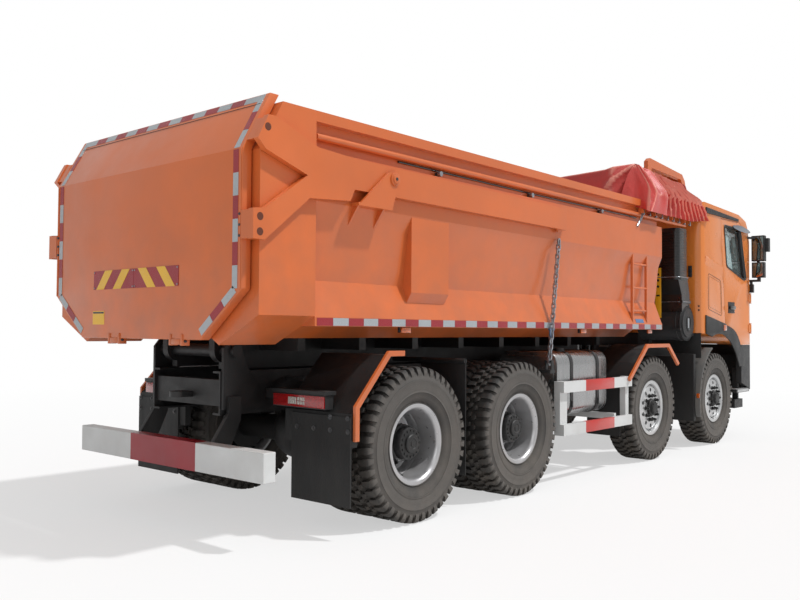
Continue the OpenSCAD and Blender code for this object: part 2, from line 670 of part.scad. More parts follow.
// Front face of the cab below the windscreen
function face_x(z) = cab_front - lookup(z, [[1400, 0], [1600, 10], [2040, 90]]);
module cab_shell() {
    color(cab_orange) difference() {
        intersection() {
            slab_y(-cab_half_w, cab_half_w) polygon(cab_side());
            translate([0, 0, 900]) linear_extrude(2100) polygon(cab_plan(0));
        }
        intersection() {
            slab_y(-cab_half_w, cab_half_w) polygon(cab_room());
            translate([0, 0, 900]) linear_extrude(2100) polygon(cab_plan(cab_wall));
        }
        rod_y(ax1, wheel_r, -cab_half_w - 1, cab_half_w + 1, cab_arch_r);
        slab_y(-950, 950) polygon([
            [cab_front - 700, 900], [cab_front - 700, cab_bottom], [cab_front - 90, cab_bottom],
            [cab_front - 60, 1000], [cab_front - 60, 900]]);
        both() slab_y(cab_half_w - cab_wall - 1, cab_half_w + 1) polygon(door_edge(door_gap));
        slab_y(-720, 720) polygon([
            [face_x(1255) - 40, 1255], [face_x(1600) - 40, 1600], [face_x(1900) - 40, 1900],
            [cab_front + 1, 1900], [cab_front + 1, 1255]]);
        slab_y(-1010, 1010) polygon([
            [cab_front - 430, roof_z - 230], [cab_front - 300, roof_z - 230], [cab_front - 60, 2080],
            [cab_front - 200, 2080]]);
        both() for (z = hinge_heights) box([door_hinge_x - 20, cab_half_w - 30, z - 50 - play],
            [door_hinge_x + 24, cab_half_w + 1, z + 50 + play]);
    }
    color(black) both() for (z = hinge_heights) {
        translate([door_hinge_x, door_hinge_y, z - 50 - play - 14]) cylinder(h = 2 * play + 128, r = 7);
        for (k = [-1, 1]) translate([0, 0, z + k * (50 + play + 7)])
            box([door_hinge_x, cab_half_w - 10, -7], [door_hinge_x + 30, door_hinge_y + 7, 7]);
    }
}
module cab_glass() {
    color([0.35, 0.42, 0.42, 0.5]) slab_y(-1010 + fit, 1010 - fit) polygon([
        [cab_front - 398, roof_z - 230 - fit], [cab_front - 388, roof_z - 230 - fit],
        [cab_front - 140, 2080 + fit], [cab_front - 150, 2080 + fit]]);
}
module door(side) {
    color(cab_orange) on_side(side) {
        difference() {
            slab_y(cab_half_w - cab_wall, cab_half_w) polygon(door_edge(0));
            slab_y(cab_half_w - cab_wall - 1, cab_half_w + 1) polygon(window_edge(0));
        }
        for (z = hinge_heights) difference() {
            union() {
                translate([door_hinge_x, door_hinge_y, z - 50]) cylinder(h = 100, r = 15);
                box([door_hinge_x - 60, cab_half_w - 1, z - 50], [door_hinge_x - 2, cab_half_w + 12, z + 50]);
            }
            translate([door_hinge_x, door_hinge_y, z - 51]) cylinder(h = 102, r = 7 + run);
        }
        box([cab_front - 1120, cab_half_w - 1, 1800], [cab_front - 960, cab_half_w + 14, 1880]);
    }
}
module door_glass(side) {
    color([0.35, 0.42, 0.42, 0.5]) on_side(side)
        slab_y(cab_half_w - 34, cab_half_w - 28) polygon(window_edge(-fit));
}
// Black trim: skirts that run into the arch lips, roof strips, sun visor and grille
module cab_trim() {
    y0 = cab_half_w + fit;
    y1 = cab_half_w + 15;
    bars = 6;
    color(black) {
        both() slab_y(y0, y1) difference() {
            polygon([
                [cab_rear + 95, cab_bottom - 10], [cab_rear + 95, 1571], [cab_front - 1172, 1470],
                [cab_front - 1165, 1456], [cab_front - 1000, 1430], [cab_front - 900, 1402],
                [cab_front - 820, 1366], [cab_front - 756, 1320], [cab_front - 696, 1262],
                [cab_front - 640, 1180], [cab_front - 560, 1059], [cab_front - 530, 930],
                [cab_front - 680, 930], [ax1, wheel_r], [ax1 - 220, cab_bottom - 50]]);
            translate([ax1, wheel_r]) circle(r = cab_arch_r - 3);
        }
        both() slab_y(y0, y1) polygon([
            [cab_rear + 120, roof_z - 130], [cab_rear + 120, roof_z - 60], [cab_front - 700, roof_z - 95],
            [cab_front - 700, roof_z - 130]]);
        slab_y(-1000, 1000) polygon([
            [cab_front - 430, roof_z - 92.5 + fit], [cab_front - 400, roof_z - 100 + fit],
            [cab_front - 385, roof_z - 119 + fit], [cab_front - 320, roof_z - 160],
            [cab_front - 245, roof_z - 172], [cab_front - 248, roof_z - 155], [cab_front - 395, roof_z - 72],
            [cab_front - 430, roof_z - 74]]);
        slab_y(-716, 716) polygon([
            [face_x(1259) - 40 + fit, 1259], [face_x(1600) - 40 + fit, 1600],
            [face_x(1896) - 40 + fit, 1896], [face_x(1896) - 24, 1896], [face_x(1600) - 24, 1600],
            [face_x(1259) - 24, 1259]]);
        for (i = [0:bars - 1]) let (z = 1280 + i * 100) slab_y(-700, 700) polygon([
            [face_x(z) - 34, z], [face_x(z) - 4, z], [face_x(z + 56) - 4, z + 56],
            [face_x(z + 56) - 34, z + 56]]);
    }
}
// Headlamps, sunk into the corners of the bumper
module headlamps() {
    color([0.8, 0.82, 0.84]) both() intersection() {
        box([cab_front - 162 + fit, 664, 834], [cab_front, cab_half_w - 124, 1036]);
        translate([0, 0, 800]) linear_extrude(300) polygon(cab_plan(12));
    }
}
module cab_interior() {
    seat_x = cab_rear + 620;
    seat_y = cab_half_w - 385;
    base = cab_bottom + 60 + fit;
    color([0.12, 0.12, 0.13]) {
        both() {
            box([seat_x, 330, base], [seat_x + 460, seat_y, base + 380]);
            box([seat_x, 330, base + 380], [seat_x + 520, seat_y, base + 500]);
            slab_y(340, seat_y - 10) polygon([
                [seat_x, base + 490], [seat_x + 120, base + 500], [seat_x + 20, base + 1120],
                [seat_x - 80, base + 1120]]);
        }
        slab_y(-cab_half_w + 235, cab_half_w - 235) polygon([
            [cab_front - 115, base], [cab_front - 190, base + 500], [cab_front - 230, base + 560],
            [cab_front - 420, base + 540], [cab_front - 420, base + 400], [cab_front - 300, base + 200],
            [cab_front - 260, base]]);
        translate([cab_front - 520, 590, base + 560]) rotate([0, -55, 0]) {
            difference() {
                cylinder(h = 30, r = 225);
                translate([0, 0, -1]) cylinder(h = 32, r = 195);
            }
            box([-20, -200, 2], [20, 200, 24]);
            translate([0, 0, -220]) cylinder(h = 230, r = 40);
        }
    }
}
// Mirrors: two arms on the front pillar carry a tall head, a small one below and one ahead
module mirrors() {
    x = cab_front - 250;
    y = cab_half_w;
    color(black) both() {
        box([x, y + 22, 2315], [x + 85, y + 185, 2655]);
        box([x, y + 25, 2095], [x + 80, y + 180, 2300]);
        box([x + 20, y + 85, 2290], [x + 50, y + 115, 2320]);
        box([x + 50, y + 165, 2440], [x + 120, y + 225, 2620]);
        mirror_arm(x + 10, x + 35, 2040, y + 130);
        box([x + 10, y + 90, 2040], [x + 40, y + 130, 2100]);
        translate([0, 0, 2610]) linear_extrude(28) polygon([
            [x - 110, y + fit], [x - 70, y + fit], [x + 40, y + 60], [x + 40, y + 100]]);
        translate([0, 0, 1900]) linear_extrude(110) polygon(concat(
            [for (d = [248, 215, 160, 130]) [cab_front - d, cab_edge(cab_front - d) + fit]],
            [[x + 110, y + 20], [x + 2, y + 40]]));
        box([x + 10, y - 5, 1990], [x + 40, y + 25, 2060]);
    }
}
// Front corner of the cab in plan, and an arm that starts on it
function cab_edge(x) = cab_half_w - lookup(cab_front - x, corner);
module mirror_arm(x0, x1, z, y1) {
    translate([0, 0, z]) linear_extrude(30) polygon([
        [x0, cab_edge(x0) + fit], [x1, cab_edge(x1) + fit], [x1, y1], [x0, y1]]);
}

// Tipping body: one section along its length, closed by the front wall
function tub_half() = [
    [0, floor_z], [730, floor_z], [835, sill_z], [bed_half_w, sill_z], [bed_half_w, sill_z + sill_h],
    [bed_half_w - 88, 1688], [bed_half_w - 70, 1789], [bed_half_w - 45, 2066], [bed_half_w, 2189],
    [bed_half_w, 2520], [bed_half_w - 60, 2520], [bed_half_w - 60, bed_top - 70],
    [bed_half_w - 5, bed_top - 70], [bed_half_w - 5, bed_top]];
function load_half() = [
    [0, floor_z + floor_t], [722, floor_z + floor_t], [load_half_w, 1612], [load_half_w, bed_top + 80]];
function bolster_half() = [
    [0, floor_z], [730, floor_z], [800, floor_z - 40], [bed_half_w, 1456], [bed_half_w, 2520],
    [bed_half_w - 5, bed_top], [0, bed_top]];
module bed_tub() {
    bolster = 460;
    color(orange) difference() {
        union() {
            slab_x(bed_rear + bolster - 1, bed_front) polygon(mirrored(tub_half()));
            slab_x(bed_rear, bed_rear + bolster) polygon(mirrored(bolster_half()));
        }
        slab_x(bed_rear - 1, bed_front - front_wall_t) polygon(mirrored(load_half()));
        slab_y(-bed_half_w - 1, bed_half_w + 1) polygon([
            [bed_rear - 1, crease_z], [bed_rear, crease_z],
            [bed_rear + (bed_top + 20 - crease_z) * gate_lean / (gate_top - crease_z), bed_top + 20],
            [bed_rear - 1, bed_top + 20]]);
        both() rod_y(pivot_x, pivot_z, bed_half_w - 42, bed_half_w + 1, pivot_r + fit);
    }
}
module bed_frame() {
    low = rail_top + 12;
    eye_r = 85;
    color(black) {
        both() difference() {
            union() {
                box([tip_x, 250, low], [bed_front - 300, 310, floor_z]);
                rod_y(tip_x, tip_z, 250, 310, eye_r);
                box([tip_x - eye_r, 250, tip_z], [tip_x + 1, 310, floor_z]);
            }
            rod_y(tip_x, tip_z, 240, 320, tip_shaft_r + run);
        }
        for (x = [tip_x + 350:620:bed_front - 400]) box([x - 35, -720, floor_z - 90], [x + 35, 720, floor_z]);
    }
}
// Ribs, ladder, pivot brackets, tarp rails and the ears of the hoist eye
module bed_fittings() {
    rib_x = ax4 - 30;
    rail_z = 2610;
    stays = [-500, -200, 250, 600];
    y = bed_half_w;
    color(orange) both() {
        slab_x(rib_x, rib_x + 440) polygon([
            [y - 88, 1688], [y - 44, (1688 + sill_z + sill_h) / 2], [y - 2, 1640],
            [y - 2, beam_z(y - 2)], [y - 45, 2066], [y - 70, 1789]]);
        ladder();
        pivot_bracket();
        rod_x(bed_rear + 480, bed_front + 700, y - 30, rail_z, 22);
        for (x = [bed_rear + 900:800:bed_front])
            box([x, y - 60 + fit, rail_z - 10], [x + 20, y - 40, rail_z + 10]);
        for (x = stays) box([bed_front + x - 12, y - 36, rail_z + 15],
            [bed_front + x + 12, side_y - tarp_t - fit, rail_z + 75]);
        slab_y(barrel_r, barrel_r + 30) polygon([
            [bed_front, hoist_eye_z - 240], [bed_front, hoist_eye_z + 240],
            [eye_x + 20, hoist_eye_z + 70], [eye_x + 70, hoist_eye_z + 20],
            [eye_x + 70, hoist_eye_z - 40], [eye_x, hoist_eye_z - 80]]);
    }
}
// Heights of the beam's underside and of the skirt at a width, with a small gap
function beam_z(y) = 2066 + 123 * (y - bed_half_w + 45) / 45 - fit;
function skirt_z(y) = sill_z + sill_h + (1688 - sill_z - sill_h) * (bed_half_w - y) / 88 + fit;
module ladder() {
    x0 = bed_front - 714;
    x1 = bed_front - 355;
    y = bed_half_w;
    for (x = [x0, x1 - 26]) slab_x(x, x + 26) polygon([
        [y - 30, skirt_z(y - 30)], [y - 4, skirt_z(y - 4)], [y - 4, beam_z(y - 4)],
        [y - 30, beam_z(y - 30)]]);
    for (z = [1590, 1828, 2078]) rod_x(x0, x1, y - 17, z, 11);
}
module pivot_bracket() {
    y = bed_half_w;
    top = pivot_z - 198;
    box([pivot_x - 360, y, top - 20], [pivot_x - 25, lever_out + 27, top]);
    for (x = [pivot_x - 340, pivot_x - 90]) slab_x(x, x + 14) polygon([
        [y, top - 20], [lever_out, top - 20], [y - 45, 2066], [y, 2189]]);
    slab_y(lever_out + 7, lever_out + 27) polygon([
        [pivot_x - 360, top - 20], [pivot_x - 25, top - 20], [pivot_x + 30, pivot_z - 50],
        [pivot_x + 60, pivot_z], [pivot_x + 20, pivot_z + 62], [pivot_x - 60, pivot_z + 40]]);
    rod_y(pivot_x, pivot_z, y - 40, lever_out + 40, pivot_r);
}
// Cab guard: two long frames with an opening and a plate across the top
module cab_guard() {
    x0 = bed_front - front_wall_t;
    x1 = bed_front + 1000;
    top = bed_top + 540;
    low = bed_top;
    color(orange) {
        both() slab_y(1000, 1050) difference() {
            polygon([[x0, low], [x0, top - 40], [x0 + 60, top], [x1 - 110, top - 60], [x1 - 30, top - 130],
                [x1, top - 220], [x1, top - 300], [x0 + 70, top - 330], [x0 + 70, low]]);
            polygon([[x0 + 100, top - 110], [x1 - 150, top - 130], [x1 - 100, top - 200],
                [x0 + 100, top - 240]]);
        }
        slab_y(-1001, 1001) polygon([
            [x0 + 400, top - 28], [x1 - 112, top - 66], [x1 - 36, top - 134],
            [x1 - 44, top - 140], [x1 - 115, top - 75], [x0 + 400, top - 38]]);
        slab_x(x0 + 10 + fit, x0 + 60) polygon(mirrored([
            [0, low + 11], [1001, low + 11], [1001, top - 340], [0, top - 340]]));
    }
}
// Tarp: a bunched cover, open below, over the front of the body
module tarp() {
    x0 = bed_front - 590;
    x1 = bed_front + 960;
    w = side_y;
    t = tarp_t;
    low = bed_top - 105;
    bend = bed_top + 130;
    peak = bed_top + 360;
    color([0.75, 0.16, 0.12]) both() slab_x(x0, x1) polygon([
        [w, low], [w, bend], [w - 155, peak], [w - 179, peak - t * 2], [w - t, bend - 15], [w - t, low]]);
}
module tailgate_panel() {
    x = ax4 - rear_overhang;
    color(orange) {
        slab_x(x, x + gate_t) polygon(mirrored([
            [0, 1300], [720, 1300], [gate_half_w, 1610], [gate_half_w, crease_z], [0, crease_z]]));
        slab_y(-gate_half_w, gate_half_w) polygon([
            [x, crease_z - 1], [x, crease_z], [x + gate_lean, gate_top], [x + gate_lean + gate_t, gate_top],
            [x + gate_t, crease_z], [x + gate_t, crease_z - 1]]);
    }
}
module tailgate_levers() {
    x = ax4 - rear_overhang;
    top = pivot_z + 90;
    low = pivot_z - 510;
    high = top + 150;
    color(orange) both() {
        difference() {
            slab_y(lever_in, lever_out) polygon([
                [x, low], [x, low + 180], [x + 90, low + 190], [x + 430, top - 170], [x + 90, top - 60],
                [x + 30, top], [x + 110, high], [x + 170, high], [x + 520, top + 20],
                [pivot_x - 340, top], [ax4 + lever_end, top - 22], [ax4 + lever_end, top - 22 - lever_h],
                [pivot_x - 370, top - 10 - lever_h], [pivot_x - 410, top - 285], [x + 450, top - 310],
                [x + 90, low]]);
            rod_y(pivot_x, pivot_z, lever_in - 1, lever_out + 1, pivot_r + run);
        }
        box([x, gate_half_w + fit, low + 5], [x + gate_t, lever_in + 1, low + 175]);
        slab_y(gate_half_w + fit, lever_in + 1) polygon([
            [x + 38, top], [x + 112, high - 10], [x + 112 + gate_t, high - 10], [x + 38 + gate_t, top]]);
        slab_y(chain_y - 6, chain_y + 6) polygon([
            [anchor_x + 120, top - 20 - lever_h], [anchor_x + 220, top - 20 - lever_h],
            [anchor_x + 195, top - 45 - lever_h], [anchor_x + 145, top - 45 - lever_h]]);
    }
}
// Lift chains: links turned in turn, each fused to the next
module lift_chains() {
    top_x = ax4 + 2000;
    top_z = pivot_z + 90 - 22 - lever_h - 70;
    length = norm([top_x - anchor_x, top_z - anchor_z]);
    count = floor(length / link_pitch);
    color([0.45, 0.45, 0.46]) both() translate([anchor_x, chain_y, anchor_z])
        rotate([0, atan2(top_x - anchor_x, top_z - anchor_z), 0])
            for (i = [0:count - 1]) translate([0, 0, i * length / count]) rotate([0, 0, i % 2 * 90]) link();
}
module link() {
    w = 44;
    l = link_pitch + 2 * link_bar - 2;
    rotate([90, 0, 0]) translate([0, 0, -link_bar / 2]) linear_extrude(link_bar) difference() {
        stadium(w, l);
        stadium(w - 2 * link_bar, l - 2 * link_bar);
    }
}
module stadium(w, l) {
    for (k = [-1, 1]) translate([0, k * (l - w) / 2]) circle(d = w);
    square([w, l - w], center = true);
}

// Hoist: a barrel on its foot pivot and four nested stages with the head eye
module along_hoist() {
    translate([foot_x, 0, hoist_foot_z]) rotate([0, -hoist_lean, 0]) children();
}
module hoist_barrel() {
    color([0.15, 0.15, 0.16]) along_hoist() {
        difference() {
            translate([0, 0, -40]) cylinder(h = hoist_l - 130, r = stage_r[0]);
            translate([0, 0, 60]) cylinder(h = hoist_l, r = stage_r[0] - stage_wall);
        }
        rod_y(0, 0, -barrel_r - 11, barrel_r + 11, 30);
    }
}
module hoist_stage(i) {
    color([0.6, 0.6, 0.62]) along_hoist() difference() {
        union() {
            translate([0, 0, 60 + 8 * i]) cylinder(h = hoist_l - 220 + 8 * i, r = stage_r[i]);
            translate([0, 0, 60 + 8 * i]) cylinder(h = 40, r = stage_r[i - 1] - stage_wall - run);
        }
        if (i < 4) translate([0, 0, 60 + 8 * i + 8 - run]) cylinder(h = hoist_l, r = stage_r[i] - stage_wall);
        if (i == 4) translate([0, 0, hoist_l - 100]) cylinder(h = 200, r = 60);
    }
    if (i == 4) color([0.6, 0.6, 0.62]) along_hoist() difference() {
        union() {
            translate([0, 0, hoist_l - 110]) cylinder(h = 60, r = 40);
            rod_y(0, hoist_l, -50, 50, 62);
        }
        rod_y(0, hoist_l, -51, 51, 32);
    }
}

frame_rails();
front_bumper();
rear_underrun();
tail_lamps();
mudguards();
mudguard_lips();
side_guards();
fuel_tank();
battery_box();
air_filter();
intake_duct();
engine_block();
exhaust_silencer();
front_axle_beams();
drive_axles();
leaf_springs();
prop_shafts();
cab_shell();
cab_glass();
cab_trim();
headlamps();
cab_interior();
mirrors();
door(-1);  // door_right
door(1);  // door_left
door_glass(-1);  // door_glass_right
door_glass(1);  // door_glass_left
knuckle(ax1, -1);  // knuckle_1_right
knuckle(ax1, 1);  // knuckle_1_left
knuckle(ax2, -1);  // knuckle_2_right
knuckle(ax2, 1);  // knuckle_2_left
steered_tyre(ax1, -1);  // tyre_1_right
steered_tyre(ax1, 1);  // tyre_1_left
steered_tyre(ax2, -1);  // tyre_2_right
steered_tyre(ax2, 1);  // tyre_2_left
steered_rim(ax1, -1);  // rim_1_right
steered_rim(ax1, 1);  // rim_1_left
steered_rim(ax2, -1);  // rim_2_right
steered_rim(ax2, 1);  // rim_2_left
twin_tyres(ax3, -1);  // tyres_3_right
twin_tyres(ax3, 1);  // tyres_3_left
twin_tyres(ax4, -1);  // tyres_4_right
twin_tyres(ax4, 1);  // tyres_4_left
twin_rim_pair(ax3, -1);  // rims_3_right
twin_rim_pair(ax3, 1);  // rims_3_left
twin_rim_pair(ax4, -1);  // rims_4_right
twin_rim_pair(ax4, 1);  // rims_4_left
bed_tub();
bed_frame();
bed_fittings();
cab_guard();
tarp();
tailgate_panel();
tailgate_levers();
lift_chains();
hoist_barrel();
hoist_stage(1);  // hoist_stage_1
hoist_stage(2);  // hoist_stage_2
hoist_stage(3);  // hoist_stage_3
hoist_stage(4);  // hoist_stage_4
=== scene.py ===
import json
import math

import bmesh
import bpy
from mathutils import Matrix, Vector, noise


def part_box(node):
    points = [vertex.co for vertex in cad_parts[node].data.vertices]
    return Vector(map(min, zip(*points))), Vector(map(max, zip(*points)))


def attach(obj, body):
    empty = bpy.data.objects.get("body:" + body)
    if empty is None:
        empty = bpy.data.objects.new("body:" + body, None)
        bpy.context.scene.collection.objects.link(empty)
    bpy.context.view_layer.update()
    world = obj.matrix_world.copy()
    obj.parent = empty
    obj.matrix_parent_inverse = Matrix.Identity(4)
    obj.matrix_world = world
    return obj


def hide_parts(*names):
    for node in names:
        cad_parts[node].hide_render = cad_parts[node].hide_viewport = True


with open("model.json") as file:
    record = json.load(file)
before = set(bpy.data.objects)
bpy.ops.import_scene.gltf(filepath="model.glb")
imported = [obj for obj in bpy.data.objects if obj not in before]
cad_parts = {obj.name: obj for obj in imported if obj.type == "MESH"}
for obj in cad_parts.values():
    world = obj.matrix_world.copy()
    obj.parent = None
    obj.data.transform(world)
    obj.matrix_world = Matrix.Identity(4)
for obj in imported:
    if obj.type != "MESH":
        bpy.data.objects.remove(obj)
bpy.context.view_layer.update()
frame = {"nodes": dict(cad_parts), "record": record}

# Looks of the four-axle dump truck: finishes, tread, tape, lamps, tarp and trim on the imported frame.
# All sizes are in metres. X points forward, Y to the left, Z up.

SIDES = {"right": -1, "left": 1}

# Camera, as fitted to the photograph
CAMERA_PLACE = (-7.504, -5.059, 1.375)
CAMERA_YAW = 41.457
CAMERA_PITCH = 1.7734
CAMERA_ROLL = 0.385
CAMERA_LENS = 37.896
CAMERA_SHIFT = (0.0143, 0.0041)
# Strength of the white surround as light, and how much of its full white shows in gloss
WORLD_FILL = 0.36
GLOSS_WHITE = 0.45

# Leading sizes, read from the frame
AXLE = {n: sum(c.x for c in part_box(f"rim_{n}_right")) / 2 for n in (1, 2)}
AXLE.update({n: sum(c.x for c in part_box(f"rims_{n}_right")) / 2 for n in (3, 4)})
WHEEL_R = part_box("tyre_1_right")[1].z / 2
TYRE_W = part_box("tyre_1_right")[1].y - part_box("tyre_1_right")[0].y
STEER_Y = sum(c.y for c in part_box("tyre_1_left")) / 2
TWIN_Y = sum(c.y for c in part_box("tyres_4_left")) / 2
TWIN_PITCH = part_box("tyres_4_left")[1].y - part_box("tyres_4_left")[0].y - TYRE_W
BED_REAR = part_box("bed_tub")[0].x
BED_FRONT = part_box("bed_tub")[1].x
BED_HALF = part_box("bed_tub")[1].y
CAB_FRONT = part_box("cab_shell")[1].x
CAB_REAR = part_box("cab_shell")[0].x
# The doors' outer face lies this far outside the cab's interior
CAB_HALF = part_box("cab_interior")[1].y + 0.235
GATE_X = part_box("tailgate_panel")[0].x
# Height of the tipping body's sill, and the pivot of the tailgate's levers
SILL_Z = 1.392
PIVOT_X, PIVOT_Z = -3.141, 2.410


def linear(r, g, b):
    """A colour written as on a screen, 0 to 255, as Blender's linear values."""
    out = []
    for c in (r, g, b):
        c /= 255
        out.append(c / 12.92 if c <= 0.04045 else ((c + 0.055) / 1.055) ** 2.4)
    return (*out, 1.0)


# Materials

class Tree:
    """A node tree, with short ways to add to it. Inputs are given by name or number: a socket is linked,
    and anything else is the input's value."""

    def __init__(self, node_tree):
        self.nodes, self.links = node_tree.nodes, node_tree.links

    def fill(self, node, inputs):
        for key, value in inputs.items():
            if isinstance(value, bpy.types.NodeSocket):
                self.links.new(value, node.inputs[key])
            else:
                node.inputs[key].default_value = value

    def add(self, kind, inputs, output=0, **settings):
        """A new node of a kind; gives its output."""
        node = self.nodes.new("ShaderNode" + kind)
        for key, value in settings.items():
            setattr(node, key, value)
        self.fill(node, inputs)
        return node.outputs[output]

    def coord(self):
        return self.add("TexCoord", {}, "Object")

    def mix(self, factor, a, b):
        """A mix of two colours, each a value or a socket."""
        return self.add("Mix", {"Factor": factor, 6: a, 7: b}, 2, data_type="RGBA")

    def ranged(self, value, low, high, to_low, to_high):
        return self.add("MapRange", {"Value": value, "From Min": low, "From Max": high, "To Min": to_low,
                                     "To Max": to_high}, "Result")

    def noise(self, vector, scale, detail=4.0):
        return self.add("TexNoise", {"Vector": vector, "Scale": scale, "Detail": detail}, "Fac")

    def math(self, operation, *values):
        return self.add("Math", dict(enumerate(values)), operation=operation)

    def bump(self, height, strength, distance, inputs=None):
        return self.add("Bump", {"Height": height, "Strength": strength, "Distance": distance,
                                 **(inputs or {})}, "Normal")


def new_material(name):
    mat = bpy.data.materials.new(name)
    mat.use_nodes = True
    tree = Tree(mat.node_tree)
    return mat, tree, tree.nodes["Principled BSDF"]


def scaled(colour, factor):
    return tuple(c * factor for c in colour[:3]) + (1.0,)


def finish(name, colour, rough=0.5, metal=0.0, coat=0.0, mottle=0.12, mottle_scale=2.5, grain=0.05,
           grain_scale=180.0, spread=0.08, dust=0.0, dust_top=1.4, dust_colour=(150, 138, 122),
           stretch=(1, 1, 1)):
    """A finish whose colour, gloss and surface vary: mottle is slow colour change, grain a fine bump,
    dust a pale film that fades out upwards by the height dust_top, stretch draws the pattern out."""
    mat, tree, bsdf = new_material(name)
    base = linear(*colour)
    coord = tree.coord()
    spot = tree.add("Mapping", {"Vector": coord, "Scale": stretch}, "Vector")
    pale = tuple(min(1.0, c * (1 + mottle) + 0.02 * mottle) for c in base[:3]) + (1.0,)
    slow = tree.ranged(tree.noise(spot, mottle_scale), 0.3, 0.7, 0, 1)
    shown = tree.mix(slow, scaled(base, 1 - 2 * mottle), pale)
    if dust:
        low = tree.ranged(tree.add("SeparateXYZ", {0: coord}, "Z"), 0.1, dust_top, dust, dust * 0.12)
        patch = tree.ranged(tree.noise(spot, 6.0, 8.0), 0.3, 0.75, 0.1, 1.3)
        shown = tree.mix(tree.math("MULTIPLY", low, patch), shown, linear(*dust_colour))
    gloss = tree.noise(spot, mottle_scale * 4, 6.0)
    tree.fill(bsdf, {
        "Metallic": metal, "Coat Weight": coat, "Coat Roughness": 0.12, "Base Color": shown,
        "Roughness": tree.ranged(gloss, 0.3, 0.7, max(0.02, rough - spread), min(1.0, rough + spread)),
        "Normal": tree.bump(tree.noise(spot, grain_scale, 3.0), grain, 0.01)})
    return mat


def pale_sides(mat, colour, amount):
    """Mixes a paler, dusty tone into the faces that look sideways: a tyre's sidewalls."""
    tree = Tree(mat.node_tree)
    bsdf = tree.nodes["Principled BSDF"]
    shown = bsdf.inputs["Base Color"].links[0].from_socket
    across = tree.add("SeparateXYZ", {0: tree.add("NewGeometry", {}, "Normal")}, "Y")
    factor = tree.ranged(tree.math("ABSOLUTE", across), 0.80, 0.98, 0.0, amount)
    tree.fill(bsdf, {"Base Color": tree.mix(factor, shown, linear(*colour))})


def glass(name, colour, clear):
    """Window glass: clear, faintly tinted, with a little dust in its gloss."""
    mat, tree, bsdf = new_material(name)
    film = tree.ranged(tree.noise(tree.coord(), 5.0), 0.3, 0.7, 0.0, 0.05)
    tree.fill(bsdf, {"Base Color": linear(*colour), "Transmission Weight": clear, "IOR": 1.45,
                     "Roughness": film})
    return mat


def lens(name, colour):
    """A lamp lens: coloured, glossy, with a fine ribbed bump."""
    mat, tree, bsdf = new_material(name)
    base = linear(*colour)
    cells = tree.add("TexVoronoi", {"Vector": tree.coord(), "Scale": 90}, "Distance")
    shown = tree.mix(tree.ranged(cells, 0.0, 0.7, 0, 1), base, scaled(base, 0.45))
    tree.fill(bsdf, {"Base Color": shown, "Roughness": 0.12, "Coat Weight": 1.0,
                     "Normal": tree.bump(cells, 0.3, 0.004)})
    return mat


def cloth(name, colour):
    """Coated fabric: a woven bump, soft creases and a painted highlight, paler pink, on its outer ridges."""
    mat, tree, bsdf = new_material(name)
    coord = tree.coord()
    base = linear(*colour)
    slow = tree.noise(coord, 3.0)
    tone = tree.mix(tree.ranged(slow, 0.3, 0.7, 0, 1), scaled(base, 0.72), base)
    # The pleats' outer ridges, found by pointiness, take a painted highlight: a paler pink over the red.
    edge = tree.add("NewGeometry", {}, "Pointiness")
    painted_ridge_highlight = tree.ranged(edge, 0.505, 0.54, 0.0, 0.85)
    weave = tree.add("TexWave", {"Vector": coord, "Scale": 160, "Distortion": 0.6}, "Fac")
    coarse = tree.bump(tree.noise(coord, 14.0, 8.0), 0.35, 0.02)
    # The base colour carries the painted highlight on the ridges.
    tree.fill(bsdf, {
        "Base Color": tree.mix(painted_ridge_highlight, tone, linear(236, 150, 132)), "Sheen Weight": 0.15,
        "Coat Weight": 0.25, "Coat Roughness": 0.35, "Roughness": tree.ranged(slow, 0.3, 0.7, 0.42, 0.58),
        "Normal": tree.bump(weave, 0.10, 0.002, {"Normal": coarse})})
    return mat


ORANGE = (213, 106, 47)
CAB_ORANGE = (228, 130, 54)
paint = finish("body_paint", ORANGE, 0.42, coat=0.35, mottle=0.05, mottle_scale=1.1, grain=0.05,
               grain_scale=60, dust=0.70, dust_top=2.45, dust_colour=(158, 96, 68))
cab_paint = finish("cab_paint", CAB_ORANGE, 0.30, coat=0.45, mottle=0.03, mottle_scale=0.8, grain=0.02,
                   grain_scale=40, dust=0.10, dust_top=1.6, dust_colour=(205, 165, 120))
chassis_paint = finish("chassis_paint", (17, 17, 19), 0.50, mottle=0.2, grain=0.12, grain_scale=90,
                       dust=0.22, dust_top=1.1, dust_colour=(74, 70, 64))
black_plastic = finish("black_plastic", (30, 31, 33), 0.50, mottle=0.12, grain=0.25, grain_scale=420,
                       dust=0.15, dust_top=1.6, dust_colour=(96, 92, 86))
duct_plastic = finish("duct_plastic", (22, 23, 25), 0.34, coat=0.25, mottle=0.12, grain=0.06,
                      grain_scale=300, dust=0.05, dust_top=2.2, dust_colour=(92, 88, 82))
gloss_black = finish("gloss_black", (14, 15, 16), 0.16, coat=0.5, mottle=0.1, grain=0.01)
rubber = finish("tyre_rubber", (36, 35, 35), 0.72, mottle=0.16, mottle_scale=5, grain=0.35, grain_scale=220,
                dust=0.34, dust_top=1.2, dust_colour=(118, 108, 96))
pale_sides(rubber, (118, 113, 108), 0.42)
flap_rubber = finish("flap_rubber", (17, 17, 18), 0.6, mottle=0.15, grain=0.2, grain_scale=120,
                     dust=0.16, dust_top=1.0, dust_colour=(70, 66, 60), stretch=(1, 1, 0.25))
aluminium = finish("polished_aluminium", (206, 207, 208), 0.34, metal=0.8, mottle=0.06, mottle_scale=6,
                   grain=0.03, grain_scale=60, spread=0.07, dust=0.10, dust_top=1.2)
rim_silver = finish("rim_silver", (188, 188, 190), 0.34, metal=0.65, mottle=0.08, mottle_scale=5, grain=0.06,
                    grain_scale=150, dust=0.16, dust_top=1.1, dust_colour=(150, 138, 120))
zinc = finish("zinc_chain", (168, 172, 178), 0.30, metal=0.9, mottle=0.2, mottle_scale=30, grain=0.2,
              grain_scale=300)
